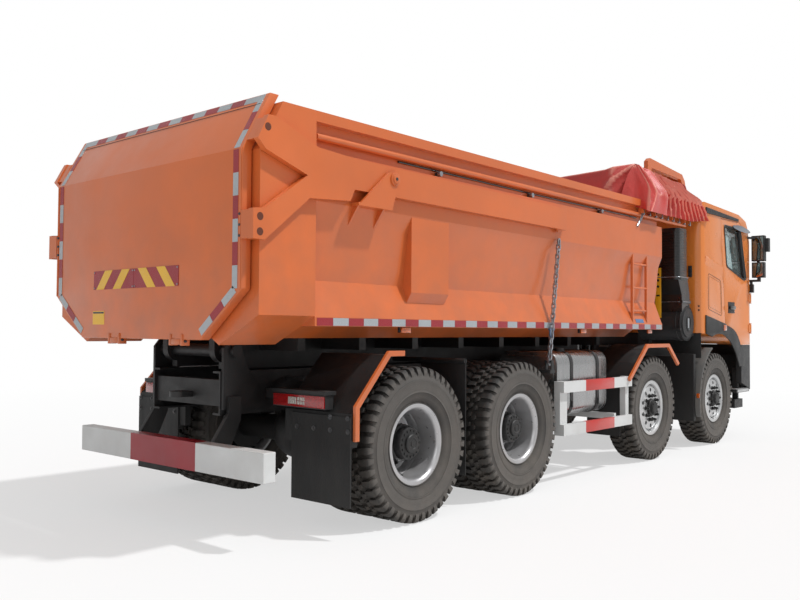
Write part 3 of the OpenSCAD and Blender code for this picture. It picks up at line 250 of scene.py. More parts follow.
chrome = finish("chromed_rod", (205, 207, 210), 0.12, metal=1.0, mottle=0.04, grain=0.02)
tank_metal = finish("tank_metal", (168, 169, 170), 0.26, metal=0.9, mottle=0.05, mottle_scale=3, grain=0.04,
                    grain_scale=60, dust=0.12, dust_top=1.3, stretch=(6, 0.3, 0.3))
white_paint = finish("white_paint", (214, 216, 216), 0.38, coat=0.2, mottle=0.05, grain=0.05, dust=0.26,
                     dust_top=1.1, dust_colour=(150, 144, 134))
red_paint = finish("red_paint", (196, 40, 34), 0.36, coat=0.3, mottle=0.07, grain=0.05, dust=0.16,
                   dust_top=1.1)
dark_red = finish("dark_red_sheet", (152, 22, 36), 0.36, coat=0.2, mottle=0.06, grain=0.2, grain_scale=700)
silver_sheet = finish("silver_sheet", (172, 178, 182), 0.36, metal=0.25, coat=0.4, mottle=0.05, grain=0.3,
                      grain_scale=700)
yellow_sheet = finish("yellow_sheet", (238, 184, 34), 0.36, coat=0.4, mottle=0.05, grain=0.3,
                      grain_scale=700)
blue_sheet = finish("blue_sheet", (70, 112, 160), 0.4, coat=0.3, mottle=0.05, grain=0.1)
dash_plastic = finish("dash_plastic", (70, 71, 74), 0.6, mottle=0.1, grain=0.3, grain_scale=500)
blue_steel = finish("blue_steel", (96, 112, 138), 0.34, metal=0.6, mottle=0.1, grain=0.1)
steel_dark = finish("dark_steel", (74, 76, 80), 0.42, metal=0.7, mottle=0.15, grain=0.15, grain_scale=120,
                    dust=0.2, dust_top=1.3)
grey_plastic = finish("grey_plastic", (96, 96, 95), 0.55, mottle=0.08, grain=0.2, grain_scale=300, dust=0.2)
smoked_plastic = finish("smoked_plastic", (62, 70, 88), 0.16, coat=0.4, mottle=0.04, grain=0.0)
gap_black = finish("gap_black", (18, 16, 15), 0.8, mottle=0.1, grain=0.1)
dark_orange_shadow = finish("hole_shadow", (96, 44, 22), 0.7, mottle=0.1, grain=0.1)
window_glass = glass("window_glass", (196, 214, 214), 0.92)
red_lens = lens("red_lens", (190, 22, 26))
amber_lens = lens("amber_lens", (240, 110, 20))
clear_lens = lens("clear_lens", (225, 222, 214))
mirror_glass = finish("mirror_glass", (118, 128, 126), 0.05, metal=1.0, mottle=0.02, grain=0.0, spread=0.02)
tarp_cloth = cloth("tarp_cloth", (204, 50, 40))


# Shapes

class Form:
    """Vertices and faces of one piece, added shape by shape."""

    def __init__(self):
        self.verts, self.faces = [], []

    def add(self, verts, faces):
        start = len(self.verts)
        self.verts += [tuple(v) for v in verts]
        self.faces += [[start + i for i in f] for f in faces]
        return self

    def prism(self, outline, axis, low, high):
        """An outline in the other two axes, in their order, drawn out along axis 0, 1 or 2."""
        def point(p, h):
            q = list(p)
            q.insert(axis, h)
            return q
        n = len(outline)
        area = sum(a[0] * b[1] - b[0] * a[1] for a, b in zip(outline, outline[1:] + outline[:1]))
        if (area > 0) == (axis == 1):
            outline = outline[::-1]
        verts = [point(p, low) for p in outline] + [point(p, high) for p in outline]
        faces = [list(range(n))[::-1], list(range(n, 2 * n))]
        faces += [[i, (i + 1) % n, n + (i + 1) % n, n + i] for i in range(n)]
        return self.add(verts, faces)

    def box(self, low, high):
        return self.prism([(low[0], low[1]), (high[0], low[1]), (high[0], high[1]), (low[0], high[1])],
                          2, low[2], high[2])

    def tube(self, path, radius, sides=12, closed=False, flat=1.0):
        """A round bar along a path of points; flat squeezes it across."""
        path = [Vector(p) for p in path]
        n = len(path)
        rings = []
        normal = None
        for i, p in enumerate(path):
            a = path[(i - 1) % n] if closed or i else p
            b = path[(i + 1) % n] if closed or i < n - 1 else p
            along = (b - a).normalized()
            if normal is None:
                normal = along.orthogonal().normalized()
            normal = (normal - along * normal.dot(along)).normalized()
            other = along.cross(normal)
            rings.append([p + normal * radius * math.cos(t) + other * radius * flat * math.sin(t)
                          for t in (2 * math.pi * k / sides for k in range(sides))])
        verts = [v for ring in rings for v in ring]
        spans = range(n if closed else n - 1)
        faces = [[i * sides + k, i * sides + (k + 1) % sides, (i + 1) % n * sides + (k + 1) % sides,
                  (i + 1) % n * sides + k] for i in spans for k in range(sides)]
        if not closed:
            faces += [list(range(sides))[::-1], [(n - 1) * sides + k for k in range(sides)]]
        return self.add(verts, faces)

    def rod(self, a, b, radius, sides=24):
        return self.tube([a, b], radius, sides)

    def lathe(self, profile, centre, direction=1, steps=96, close=False):
        """A profile of (radius, y) points turned about an axis along Y through centre."""
        verts = []
        n = len(profile)
        for k in range(steps):
            t = 2 * math.pi * k / steps
            verts += [(centre[0] + r * math.cos(t), centre[1] + direction * y, centre[2] + r * math.sin(t))
                      for r, y in profile]
        faces = []
        spans = n if close else n - 1
        for k in range(steps):
            j = (k + 1) % steps
            for i in range(spans):
                m = (i + 1) % n
                face = [k * n + i, j * n + i, j * n + m, k * n + m]
                faces.append(face if direction < 0 else face[::-1])
        return self.add(verts, faces)

    def both(self):
        """Adds the mirror image across the truck's middle."""
        n = len(self.verts)
        self.verts += [(x, -y, z) for x, y, z in self.verts]
        self.faces += [[n + i for i in f[::-1]] for f in self.faces[:]]
        return self

    def moved(self, offset, side=1):
        """A copy, mirrored across the middle for side -1, then moved."""
        copy = Form()
        copy.verts = [(x + offset[0], side * y + offset[1], z + offset[2]) for x, y, z in self.verts]
        copy.faces = [list(f) if side > 0 else list(f)[::-1] for f in self.faces]
        return copy

    def join(self, other):
        return self.add(other.verts, other.faces)


def mesh_object(name, form):
    mesh = bpy.data.meshes.new(name)
    mesh.from_pydata(form.verts, [], form.faces)
    obj = bpy.data.objects.new(name, mesh)
    bpy.context.scene.collection.objects.link(obj)
    return obj


def apply_modifiers(obj):
    bpy.context.view_layer.update()
    graph = bpy.context.evaluated_depsgraph_get()
    mesh = bpy.data.meshes.new_from_object(obj.evaluated_get(graph))
    obj.modifiers.clear()
    obj.data = mesh
    return mesh


def round_edges(obj, width, segments, limit):
    """Rounds the edges whose faces meet at more than limit degrees."""
    cut = obj.modifiers.new("edge", "BEVEL")
    cut.width = width
    cut.segments = segments
    cut.limit_method = "ANGLE"
    cut.angle_limit = math.radians(limit)
    apply_modifiers(obj)


def dress(obj, body, material, angle, replaces):
    """Smooth shading up to an angle, a material, the body to ride on and the nodes it stands for."""
    for p in obj.data.polygons:
        p.use_smooth = True
    obj.data.set_sharp_from_angle(angle=math.radians(angle))
    obj.data.materials.clear()
    obj.data.materials.append(material)
    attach(obj, body)
    if replaces:
        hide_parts(*replaces)
    return obj


def place(name, form, body, material, bevel=0.0, replaces=(), angle=32.0, segments=2, clean=False):
    """Makes a form into a piece that rides on a body; clean turns its faces outwards first."""
    obj = mesh_object(name, form)
    obj.data.validate()
    if clean:
        work = bmesh.new()
        work.from_mesh(obj.data)
        bmesh.ops.recalc_face_normals(work, faces=work.faces)
        work.to_mesh(obj.data)
        work.free()
    if bevel:
        round_edges(obj, bevel, segments, 32)
    return dress(obj, body, material, angle, replaces)


def pair(name, form, body, material, **options):
    """A closed form and its mirror image, as one piece."""
    return place(name, form.both(), body, material, clean=True, **options)


def node_body(node):
    """The name of the body that a CAD node belongs to."""
    return next(body for body, nodes in frame["record"]["behaviour"]["bodies"].items() if node in nodes)


def softened(node, material, width=0.004, flat=None, angle=30):
    """The CAD node's own form with its edges rounded, in place of the node. A raised part inside the
    box flat, a low and a high corner, is taken off and its place closed."""
    source = frame["nodes"][node]
    work = bmesh.new()
    work.from_mesh(source.data)
    work.transform(source.matrix_world)
    bmesh.ops.remove_doubles(work, verts=work.verts, dist=2e-5)
    if flat:
        raised = [v for v in work.verts if all(a < c < b for a, c, b in zip(flat[0], v.co, flat[1]))]
        bmesh.ops.delete(work, geom=raised, context="VERTS")
        bmesh.ops.holes_fill(work, edges=[e for e in work.edges if e.is_boundary])
    bmesh.ops.dissolve_limit(work, angle_limit=math.radians(1.0), verts=work.verts, edges=work.edges)
    obj = mesh_object(f"{node}_soft", Form())
    work.to_mesh(obj.data)
    work.free()
    round_edges(obj, width, 2, 28)
    dress(obj, node_body(node), material, angle, (node,))


# Finish of every CAD node but the knuckles, tyres and rims
FINISHES = {node: look for look, nodes in (
    (chassis_paint, "frame_rails front_axle_beams drive_axles leaf_springs prop_shafts bed_frame"),
    (black_plastic, "front_bumper tail_lamps battery_box air_filter cab_trim mirrors"),
    (paint, "mudguard_lips bed_tub bed_fittings cab_guard tailgate_panel tailgate_levers"),
    (cab_paint, "cab_shell door_right door_left"), (white_paint, "rear_underrun side_guards"),
    (window_glass, "cab_glass door_glass_right door_glass_left"), (flap_rubber, "mudguards"),
    (steel_dark, "engine_block exhaust_silencer"), (duct_plastic, "intake_duct"),
    (tank_metal, "fuel_tank"), (dash_plastic, "cab_interior"), (red_paint, "tarp"),
    (zinc, "lift_chains"), (gloss_black, "hoist_barrel"), (clear_lens, "headlamps"),
    (chrome, "hoist_stage_1 hoist_stage_2 hoist_stage_3 hoist_stage_4"),
) for node in nodes.split()}
# Of the rest, by the start of the name
STARTS = {"knuckle": chassis_paint, "tyre": rubber, "rims": rim_silver, "rim_": aluminium}
for name, obj in frame["nodes"].items():
    look = FINISHES.get(name) or next(look for start, look in STARTS.items() if name.startswith(start))
    for slot in obj.material_slots:
        slot.material = look
    if not obj.material_slots:
        obj.data.materials.append(look)


# CAD nodes shown with rounded edges: width of the rounding
EDGES = {
    "bed_tub": 0.005, "cab_guard": 0.005,
    "front_bumper": 0.006, "rear_underrun": 0.006, "tail_lamps": 0.004, "mudguards": 0.003,
    "mudguard_lips": 0.003, "side_guards": 0.003, "battery_box": 0.008, "air_filter": 0.008,
    "intake_duct": 0.004, "exhaust_silencer": 0.006, "cab_shell": 0.006, "cab_trim": 0.003,
    "cab_interior": 0.015, "mirrors": 0.012, "frame_rails": 0.003, "front_axle_beams": 0.006,
    "drive_axles": 0.006, "engine_block": 0.01,
}
FLAT_SIDED = ("bed_tub", "cab_guard", "side_guards", "mudguard_lips")
for name, width in EDGES.items():
    softened(name, FINISHES[name], width, angle=4 if name in FLAT_SIDED else 25)
# The door handles are shown lower down, by pieces of their own
HANDLE_PAD = ((CAB_FRONT - 1.13, CAB_HALF + 0.0002, 1.79), (CAB_FRONT - 0.95, CAB_HALF + 0.03, 1.89))
for side, s in SIDES.items():
    low, high = HANDLE_PAD
    pad = (low, high) if s > 0 else ((low[0], -high[1], low[2]), (high[0], -low[1], high[2]))
    softened(f"door_{side}", cab_paint, flat=pad)


# Tyres: a revolved carcass, two rings of shoulder blocks and two of centre blocks

LUGS = 45
LUG_H = 0.022
ROOT_R = WHEEL_R - LUG_H
BEAD_R = 0.290


def tyre_form():
    """One tyre about the origin, axis along Y, its outer side at +Y."""
    side = [(BEAD_R + r, y) for r, y in (
        (-0.033, 0.105), (-0.006, 0.112), (0.006, 0.118), (0.012, 0.113), (0.020, 0.119), (0.048, 0.134),
        (0.078, 0.143), (0.082, 0.1465), (0.092, 0.1465), (0.096, 0.144), (0.130, 0.1485), (0.160, 0.148),
        (0.163, 0.1495), (0.171, 0.1495), (0.174, 0.147))]
    side += [(ROOT_R - 0.042, 0.143), (ROOT_R - 0.018, 0.134), (ROOT_R - 0.003, 0.120), (ROOT_R, 0.108)]
    profile = side + [(ROOT_R, 0.0)] + [(r, -y) for r, y in side[::-1]]
    form = Form().lathe(profile, (0, 0, 0), steps=144)
    step = 2 * math.pi / LUGS
    for k in range(LUGS):
        for s in (-1, 1):
            turn = (k + (0.5 if s > 0 else 0.0)) * step
            shoulder_block(form, turn, step, s)
            centre_block(form, turn + 0.5 * step, step, s)
    return form


def block(form, rings):
    """A solid through rings of four corners, each (turn, radius, y)."""
    verts = [(r * math.cos(t), y, r * math.sin(t)) for ring in rings for t, r, y in ring]
    n = len(rings)
    faces = [[0, 1, 2, 3], [4 * n - 1, 4 * n - 2, 4 * n - 3, 4 * n - 4]]
    for i in range(n - 1):
        for k in range(4):
            a, b = 4 * i + k, 4 * i + (k + 1) % 4
            faces.append([b, a, a + 4, b + 4])
    form.add(verts, faces)


def shoulder_block(form, turn, step, s):
    """A block from beside the centre, over the shoulder and down onto the sidewall."""
    rows = [(0.052, 0.19, WHEEL_R - 0.003), (0.060, 0.24, WHEEL_R), (0.112, 0.30, WHEEL_R),
            (0.130, 0.31, WHEEL_R - 0.003), (0.141, 0.30, WHEEL_R - 0.014), (0.1475, 0.27, ROOT_R - 0.012),
            (0.1490, 0.22, ROOT_R - 0.032)]
    rings = []
    for y, half, top in rows:
        skew = 0.10 * (y - 0.05) / 0.1
        a, b = turn - (half + skew) * step, turn + (half - skew) * step
        low = min(top - 0.004, ROOT_R - 0.006 if y < 0.12 else top - 0.03)
        inner = y if y < 0.12 else y - 0.012
        ring = [(a, low, s * inner), (b, low, s * inner), (b, top, s * y), (a, top, s * y)]
        rings.append(ring if s > 0 else ring[::-1])
    block(form, rings)


def centre_block(form, turn, step, s):
    """A slanted block of the two middle rows."""
    rows = [(0.004, 0.20, WHEEL_R - 0.003), (0.009, 0.24, WHEEL_R), (0.038, 0.26, WHEEL_R),
            (0.044, 0.20, WHEEL_R - 0.003)]
    rings = []
    for y, half, top in rows:
        skew = 4.5 * y * s
        a, b = turn - (half + skew) * step, turn + (half - skew) * step
        ring = [(a, ROOT_R - 0.004, s * y), (b, ROOT_R - 0.004, s * y), (b, top, s * y), (a, top, s * y)]
        rings.append(ring if s > 0 else ring[::-1])
    block(form, rings)


def wheel_bodies(axle, side):
    return f"wheel_{axle}_{side}" if axle < 3 else f"wheels_{axle}_{side}"


def add_tyres():
    base = tyre_form()
    for axle in AXLE:
        for side, s in SIDES.items():
            if axle < 3:
                places, node = [STEER_Y], f"tyre_{axle}_{side}"
            else:
                places, node = [TWIN_Y - TWIN_PITCH / 2, TWIN_Y + TWIN_PITCH / 2], f"tyres_{axle}_{side}"
            for i, y in enumerate(places):
                form = base.moved((AXLE[axle], s * y, WHEEL_R), s)
                place(f"tread_{axle}_{side}_{i + 1}", form, wheel_bodies(axle, side), rubber,
                      replaces=(node,), angle=36)


add_tyres()


# Wheels: bright discs with hand holes in front, deep painted dishes behind, each with its hub and nuts

def disc_with_holes(profile, holes, hole_r, ring_r):
    """A disc revolved from a closed profile of (radius, y) points, with round holes cut in a ring."""
    disc = mesh_object("disc", Form().lathe(profile, (0, 0, 0), steps=120, close=True))
    cutters = Form()
    for k in range(holes):
        t = 2 * math.pi * (k + 0.5) / holes
        x, z = ring_r * math.cos(t), ring_r * math.sin(t)
        cutters.tube([(x, -0.3, z), (x, 0.3, z)], hole_r, 28)
    cutter = mesh_object("cutters", cutters)
    cut = disc.modifiers.new("holes", "BOOLEAN")
    cut.operation = "DIFFERENCE"
    cut.solver = "EXACT"
    cut.object = cutter
    mesh = apply_modifiers(disc)
    out = Form().add([v.co for v in mesh.vertices], [list(p.vertices) for p in mesh.polygons])
    bpy.data.objects.remove(disc)
    bpy.data.objects.remove(cutter)
    return out


def nuts(count, ring_r, y0, y1, radius, stud=0.0):
    """Hexagon nuts in a ring, each with its washer and stud."""
    form = Form()
    for k in range(count):
        t = 2 * math.pi * k / count
        x, z = ring_r * math.cos(t), ring_r * math.sin(t)
        form.tube([(x, y0, z), (x, y0 + 0.004, z)], radius * 1.35, 20)
        form.tube([(x, y0 + 0.004, z), (x, y1, z)], radius, 6)
        if stud:
            form.tube([(x, y1, z), (x, y1 + stud, z)], radius * 0.62, 14)
    return form


# The outer side of every rim's section, as (radius, y) points, from its inner to its outer flange
RIM_SECTION = [(0.289, -0.116), (0.2905, -0.110), (0.286, -0.104), (0.258, -0.100), (0.255, -0.04),
               (0.255, 0.085), (0.258, 0.099), (0.286, 0.1035), (0.2905, 0.109), (0.290, 0.115),
               (0.284, 0.1175)]


def front_wheel():
    """Disc, hub and nuts of a steered wheel, about the origin."""
    section = [(0.246, -0.116)] + RIM_SECTION + [(0.262, 0.1165), (0.252, 0.108), (0.246, 0.09),
                                                 (0.244, -0.09)]
    barrel = Form().lathe(section, (0, 0, 0), steps=120, close=True)
    disc = disc_with_holes([
        (0.248, 0.030), (0.248, 0.062), (0.240, 0.080), (0.226, 0.096), (0.205, 0.104), (0.165, 0.107),
        (0.100, 0.108), (0.094, 0.104), (0.094, 0.088), (0.165, 0.088), (0.205, 0.084), (0.228, 0.050)],
        10, 0.0215, 0.190)
    metal = barrel.join(disc)
    dark = Form().lathe([
        (0.002, 0.163), (0.040, 0.162), (0.062, 0.160), (0.068, 0.156), (0.070, 0.148), (0.072, 0.136),
        (0.084, 0.132), (0.088, 0.126), (0.089, 0.110), (0.096, 0.109), (0.096, 0.085), (0.130, 0.080),
        (0.140, 0.060), (0.140, -0.055), (0.060, -0.055)], (0, 0, 0), steps=64)
    dark.join(nuts(10, 0.132, 0.107, 0.140, 0.0165, stud=0.012))
    dark.join(nuts(8, 0.060, 0.158, 0.1645, 0.006))
    return metal, dark


def rear_wheel():
    """Both rims, discs and the reduction hub of a twin wheel, about the middle of the twin."""
    h = TWIN_PITCH / 2
    metal = Form()
    section = [(0.246, -0.112)] + RIM_SECTION + [
        (0.268, 0.117), (0.258, 0.110), (0.250, 0.098), (0.246, 0.080), (0.246, -0.03), (0.240, -0.045),
        (0.240, -0.09)]
    for k in (-1, 1):
        ring = Form().lathe(section, (0, 0, 0), steps=120, close=True)
        disc = disc_with_holes([
            (0.248, -0.052), (0.238, -0.066), (0.230, -0.100), (0.222, -0.132), (0.205, -0.149),
            (0.100, -0.151), (0.094, -0.155), (0.094, -0.165), (0.208, -0.165), (0.230, -0.146),
            (0.242, -0.104), (0.250, -0.070)], 8, 0.026, 0.176)
        both = ring.join(disc)
        metal.join(both.moved((0, k * h, 0), k))
    dark = Form().lathe([
        (0.002, 0.252), (0.020, 0.252), (0.022, 0.248), (0.034, 0.247), (0.040, 0.251), (0.062, 0.249),
        (0.068, 0.244), (0.070, 0.231), (0.100, 0.226), (0.112, 0.222), (0.118, 0.212), (0.119, 0.160),
        (0.128, 0.156), (0.134, 0.148), (0.135, 0.0), (0.100, -0.02)], (0, 0, 0), steps=64)
    dark.join(nuts(16, 0.094, 0.224, 0.233, 0.0075))
    dark.join(nuts(10, 0.168, 0.014, 0.045, 0.0165, stud=0.012))
    return metal, dark


def add_wheels():
    forms = {"front": front_wheel(), "rear": rear_wheel()}
    for axle in AXLE:
        kind = "front" if axle < 3 else "rear"
        metal, dark = forms[kind]
        for side, s in SIDES.items():
            node = f"rim_{axle}_{side}" if axle < 3 else f"rims_{axle}_{side}"
            centre = (AXLE[axle], s * (STEER_Y if axle < 3 else TWIN_Y), WHEEL_R)
            body = wheel_bodies(axle, side)
            look = aluminium if axle < 3 else rim_silver
            for part, form, material in (("metal", metal, look), ("hub", dark, chassis_paint)):
                place(f"wheel_{part}_{axle}_{side}", form.moved(centre, s), body, material,
                      replaces=(node,), angle=30)


add_wheels()


# Reflective tape, plates and boards

TAPE_W = 0.050
TAPE_T = 0.0015
TAPE_STEP = 0.145
# Faces of a box given as four corners and, in the same order, the four across from them
BOX_FACES = [[0, 3, 2, 1], [4, 5, 6, 7], [0, 1, 5, 4], [1, 2, 6, 5], [2, 3, 7, 6], [3, 0, 4, 7]]


def tape_strip(forms, start, end, across, out, count=None, first=0):
    """Pieces of tape from start to end, in turn silver and dark red; across is the width's direction
    and out the face's."""
    start, end, across, out = (Vector(v) for v in (start, end, across, out))
    along = end - start
    count = count or max(1, round(along.length / TAPE_STEP))
    gap = along.normalized() * 0.0008
    for k in range(count):
        a = start + along * k / count + gap
        b = start + along * (k + 1) / count - gap
        corners = [a, b, b + across * TAPE_W, a + across * TAPE_W]
        if (b - a).cross(across).dot(out) < 0:
            corners = corners[::-1]
        forms[(k + first) % 2].add(corners + [c + out * TAPE_T for c in corners], BOX_FACES)


def add_sill_tape():
    forms = (Form(), Form())
    for s in SIDES.values():
        y, z = s * (BED_HALF + 0.0002), SILL_Z + 0.004
        tape_strip(forms, (BED_REAR + 0.475, y, z), (BED_FRONT - 0.01, y, z), (0, 0, 1), (0, s, 0), first=1)
    place("sill_tape_silver", forms[0], "bed", silver_sheet)
    place("sill_tape_red", forms[1], "bed", dark_red)


GATE_HALF = 1.115
CREASE_Z = 2.450
GATE_TOP = 2.825
GATE_LEAN = 0.210
GATE_FACE = GATE_X + 0.008
GATE_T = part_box("tailgate_panel")[1].x - GATE_LEAN - GATE_FACE


def gate_point(z):
    """The tailgate's outer face at a height, upright below the crease and leaning above it."""
    return GATE_FACE + max(0.0, z - CREASE_Z) * GATE_LEAN / (GATE_TOP - CREASE_Z)


def add_gate_panel():
    """One closed panel with cut lower corners and a leaning top."""
    half = [(0.720, 1.300), (GATE_HALF, 1.610), (GATE_HALF, CREASE_Z), (GATE_HALF, GATE_TOP)]
    outline = [(-y, z) for y, z in half] + half[::-1]
    n = len(outline)
    form = Form()
    verts = [(gate_point(z), y, z) for y, z in outline]
    verts += [(gate_point(z) + GATE_T, y, z) for y, z in outline]
    faces = [[0, 1, 2, 5, 6, 7], [2, 3, 4, 5]]
    faces += [[n + i for i in face[::-1]] for face in faces]
    faces += [[i, n + i, n + (i + 1) % n, (i + 1) % n] for i in range(n)]
    form.add(verts, faces)
    place("tailgate_skin", form, "tailgate", paint, bevel=0.006, replaces=("tailgate_panel",), angle=20,
          segments=3, clean=True)


def add_gate_tape():
    forms = (Form(), Form())
    x = GATE_FACE - 0.0003
    outward = Vector((-(GATE_TOP - CREASE_Z), 0, GATE_LEAN)).normalized()
    for s in (-1, 1):
        edge = s * (GATE_HALF - 0.035)
        tape_strip(forms, (x, edge, CREASE_Z - 0.004), (x, edge, 1.612), (0, -s, 0), (-1, 0, 0), 6, first=1)
        down = Vector((0, 0.365, 0.285)).normalized()
        turned = Vector((0, -s * down.z, down.y))
        tape_strip(forms, (x, s * 1.070, 1.590), (x, s * 0.735, 1.328), turned, (-1, 0, 0), 3)
        low, high = CREASE_Z + 0.006, GATE_TOP - 0.004
        tape_strip(forms, (gate_point(low), edge, low), (gate_point(high), edge, high), (0, -s, 0), outward,
                   3)
    z = GATE_TOP - 0.006
    slope = Vector((gate_point(z - 0.1) - gate_point(z), 0, -0.1)).normalized()
    inner = GATE_HALF - 0.035 - TAPE_W
    tape_strip(forms, (gate_point(z), -inner, z), (gate_point(z), inner, z), slope, outward, 15)
    place("gate_tape_silver", forms[0], "tailgate", silver_sheet)
    place("gate_tape_red", forms[1], "tailgate", dark_red)


BOARD_Y = (0.560, -0.485)
BOARD_Z = (1.645, 1.778)


def add_chevrons():
    """Two boards whose slanted stripes meet in the middle, and a blank label below."""
    base, stripes = Form(), Form()
    x = GATE_FACE
    middle = (BOARD_Y[0] + BOARD_Y[1]) / 2
    base.box((x - 0.003, BOARD_Y[1], BOARD_Z[0]), (x + 0.0005, middle - 0.0015, BOARD_Z[1]))
    base.box((x - 0.003, middle + 0.0015, BOARD_Z[0]), (x + 0.0005, BOARD_Y[0], BOARD_Z[1]))
    width, lean = 0.100, 0.115
    for s in (-1, 1):
        for k in (0, 1):
            low = middle + s * (0.165 + k * 0.220)
            top = low - s * lean
            corners = [(low, BOARD_Z[0]), (low + s * width, BOARD_Z[0]), (top + s * width, BOARD_Z[1]),
                       (top, BOARD_Z[1])]
            corners = [(min(max(p, BOARD_Y[1]), BOARD_Y[0]), z) for p, z in corners]
            stripes.prism(corners, 0, x - 0.0042, x - 0.0028)
    place("chevron_board", base, "tailgate", dark_red, clean=True)
    place("chevron_stripes", stripes, "tailgate", yellow_sheet, clean=True)
    rivets = Form()
    for y in (BOARD_Y[0] - 0.012, middle + 0.012, middle - 0.012, BOARD_Y[1] + 0.012):
        for z in (BOARD_Z[0] + 0.012, BOARD_Z[1] - 0.012):
            rivets.rod((x - 0.007, y, z), (x - 0.002, y, z), 0.0055, 14)
    place("chevron_rivets", rivets, "tailgate", zinc, bevel=0.0012)
    label, band = Form(), Form()
    label.box((x - 0.0015, 0.415, 1.396), (x + 0.0005, 0.570, 1.492))
    band.box((x - 0.0022, 0.420, 1.474), (x - 0.0010, 0.565, 1.486))
    place("gate_label", label, "tailgate", yellow_sheet)
    place("gate_label_band", band, "tailgate", gloss_black)


def add_gate_hardware():
    """Seam, latch blocks and the bolts and holes of the arms' lugs."""
    seam = Form()
    z = GATE_TOP - 0.072
    seam.box((gate_point(z) - 0.0012, -1.07, z), (gate_point(z) + 0.004, 1.07, z + 0.004))
    place("gate_seam", seam, "tailgate", gloss_black)
    flange = Form()
    for s in (-1, 1):
        flange.prism([(s * (GATE_HALF - 0.006), 1.610), (s * (GATE_HALF - 0.006), CREASE_Z),
                      (s * (GATE_HALF - 0.020), CREASE_Z), (s * (GATE_HALF - 0.020), 1.616)], 0,
                     GATE_FACE - 0.005, GATE_FACE + 0.002)
    place("gate_edge", flange, "tailgate", paint, bevel=0.0015, clean=True)
    latch, dark = Form(), Form()
    back = GATE_X + 0.001
    for y in (0.278, -0.465):
        for k in (-1, 1):
            latch.box((back, y + k * 0.063 - 0.012, 1.262), (back + 0.060, y + k * 0.063 + 0.012, 1.335))
        latch.prism([(back, 1.268), (back, 1.302), (back + 0.030, 1.335), (back + 0.055, 1.335),
                     (back + 0.055, 1.268)], 1, y - 0.048, y + 0.048)
        dark.rod((back + 0.022, y - 0.085, 1.290), (back + 0.022, y + 0.085, 1.290), 0.009, 16)
    place("gate_latch_blocks", latch, "tailgate", paint, bevel=0.003, clean=True)
    place("gate_latch_pins", dark, "tailgate", steel_dark, bevel=0.001)
    bolts, holes = Form(), Form()
    for s in (-1, 1):
        edge = s * 1.230
        for dx, z in ((0.052, 1.945), (0.052, 2.035), (0.105, 2.575)):
            holes.rod((GATE_X + dx, edge - s * 0.004, z), (GATE_X + dx, edge + s * 0.0008, z), 0.024, 24)
        for z in (1.925, 1.990, 2.055):
            bolts.rod((GATE_FACE - 0.0075, s * 1.098, z), (GATE_FACE + 0.002, s * 1.098, z), 0.010, 6)
    place("arm_lug_holes", holes, "tailgate", dark_orange_shadow)
    place("arm_lug_bolts", bolts, "tailgate", steel_dark, bevel=0.001)


add_gate_panel()
add_sill_tape()
add_gate_tape()
add_chevrons()
add_gate_hardware()


# Tail lamps, side markers and the underrun's colours

def add_lamps():
    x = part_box("tail_lamps")[0].x + 0.012
    case, red, clear = Form(), Form(), Form()
    y0, y1, z0, z1 = 0.545, 1.051, 0.846, 0.926
    red.box((x - 0.010, y0, z0), (x + 0.001, y1, z1))
    for k in range(3):
        for z in (0.862, 0.888):
            clear.box((x - 0.0125, 0.790 + k * 0.026, z), (x - 0.009, 0.812 + k * 0.026, z + 0.022))
    for k in range(4):
        clear.box((x - 0.0125, 0.700 + k * 0.021, 0.862), (x - 0.009, 0.718 + k * 0.021, 0.910))
    for k in range(8):
        red.rod((x - 0.0125, 0.860 + k * 0.022, 0.918), (x - 0.009, 0.860 + k * 0.022, 0.918), 0.0075, 14)
    case.box((x - 0.006, y0 - 0.005, z0 - 0.007), (x + 0.004, y1 + 0.005, z0))
    case.box((x - 0.006, y0 - 0.005, z1), (x + 0.004, y1 + 0.005, z1 + 0.006))
    pair("tail_lamp_lens", red, "chassis", red_lens, bevel=0.002)
    pair("tail_lamp_cells", clear, "chassis", clear_lens, bevel=0.001)
    pair("tail_lamp_rim", case, "chassis", black_plastic, bevel=0.001)
    marker, backs = Form(), Form()
    for xm in (-2.900, -0.300, 1.160):
        backs.box((xm - 0.055, 1.128, 1.352), (xm + 0.055, 1.150, 1.3915))
        marker.box((xm - 0.050, 1.150, 1.350), (xm + 0.050, 1.166, 1.3895))
    pair("side_marker_lens", marker, "bed", amber_lens, bevel=0.004)
    pair("side_marker_back", backs, "bed", black_plastic, bevel=0.002)
    slot_lamp = Form().box((BED_REAR + 0.002, 1.135, 2.300), (BED_REAR + 0.020, 1.165, 2.430))
    pair("slot_lamp", slot_lamp, "bed", red_lens, bevel=0.006)


def add_stripes():
    """The red middle of the underrun beam and of the side guards' rails."""
    beam_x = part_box("rear_underrun")[0].x
    half = 0.39
    for name, low, high in (("underrun_red", (beam_x - 0.0012, 0.4255), (beam_x + 0.0004, 0.6145)),
                            ("underrun_red_top", (beam_x - 0.001, 0.6146), (beam_x + 0.100, 0.6160))):
        place(name, Form().box((low[0], -half, low[1]), (high[0], half, high[1])), "chassis", dark_red)
    rails = Form()
    y = 1.235
    for z0, z1 in ((0.430, 0.530), (0.815, 0.915)):
        rails.box((-0.388, y - 0.0405, z0 - 0.0008), (0.185, y + 0.0008, z1 + 0.0008))
    pair("side_guard_red", rails, "chassis", red_paint, bevel=0.0006)


add_lamps()
add_stripes()


# Cab: panel lines, seals, handles, mirrors' glass, lamps, wipers and steps

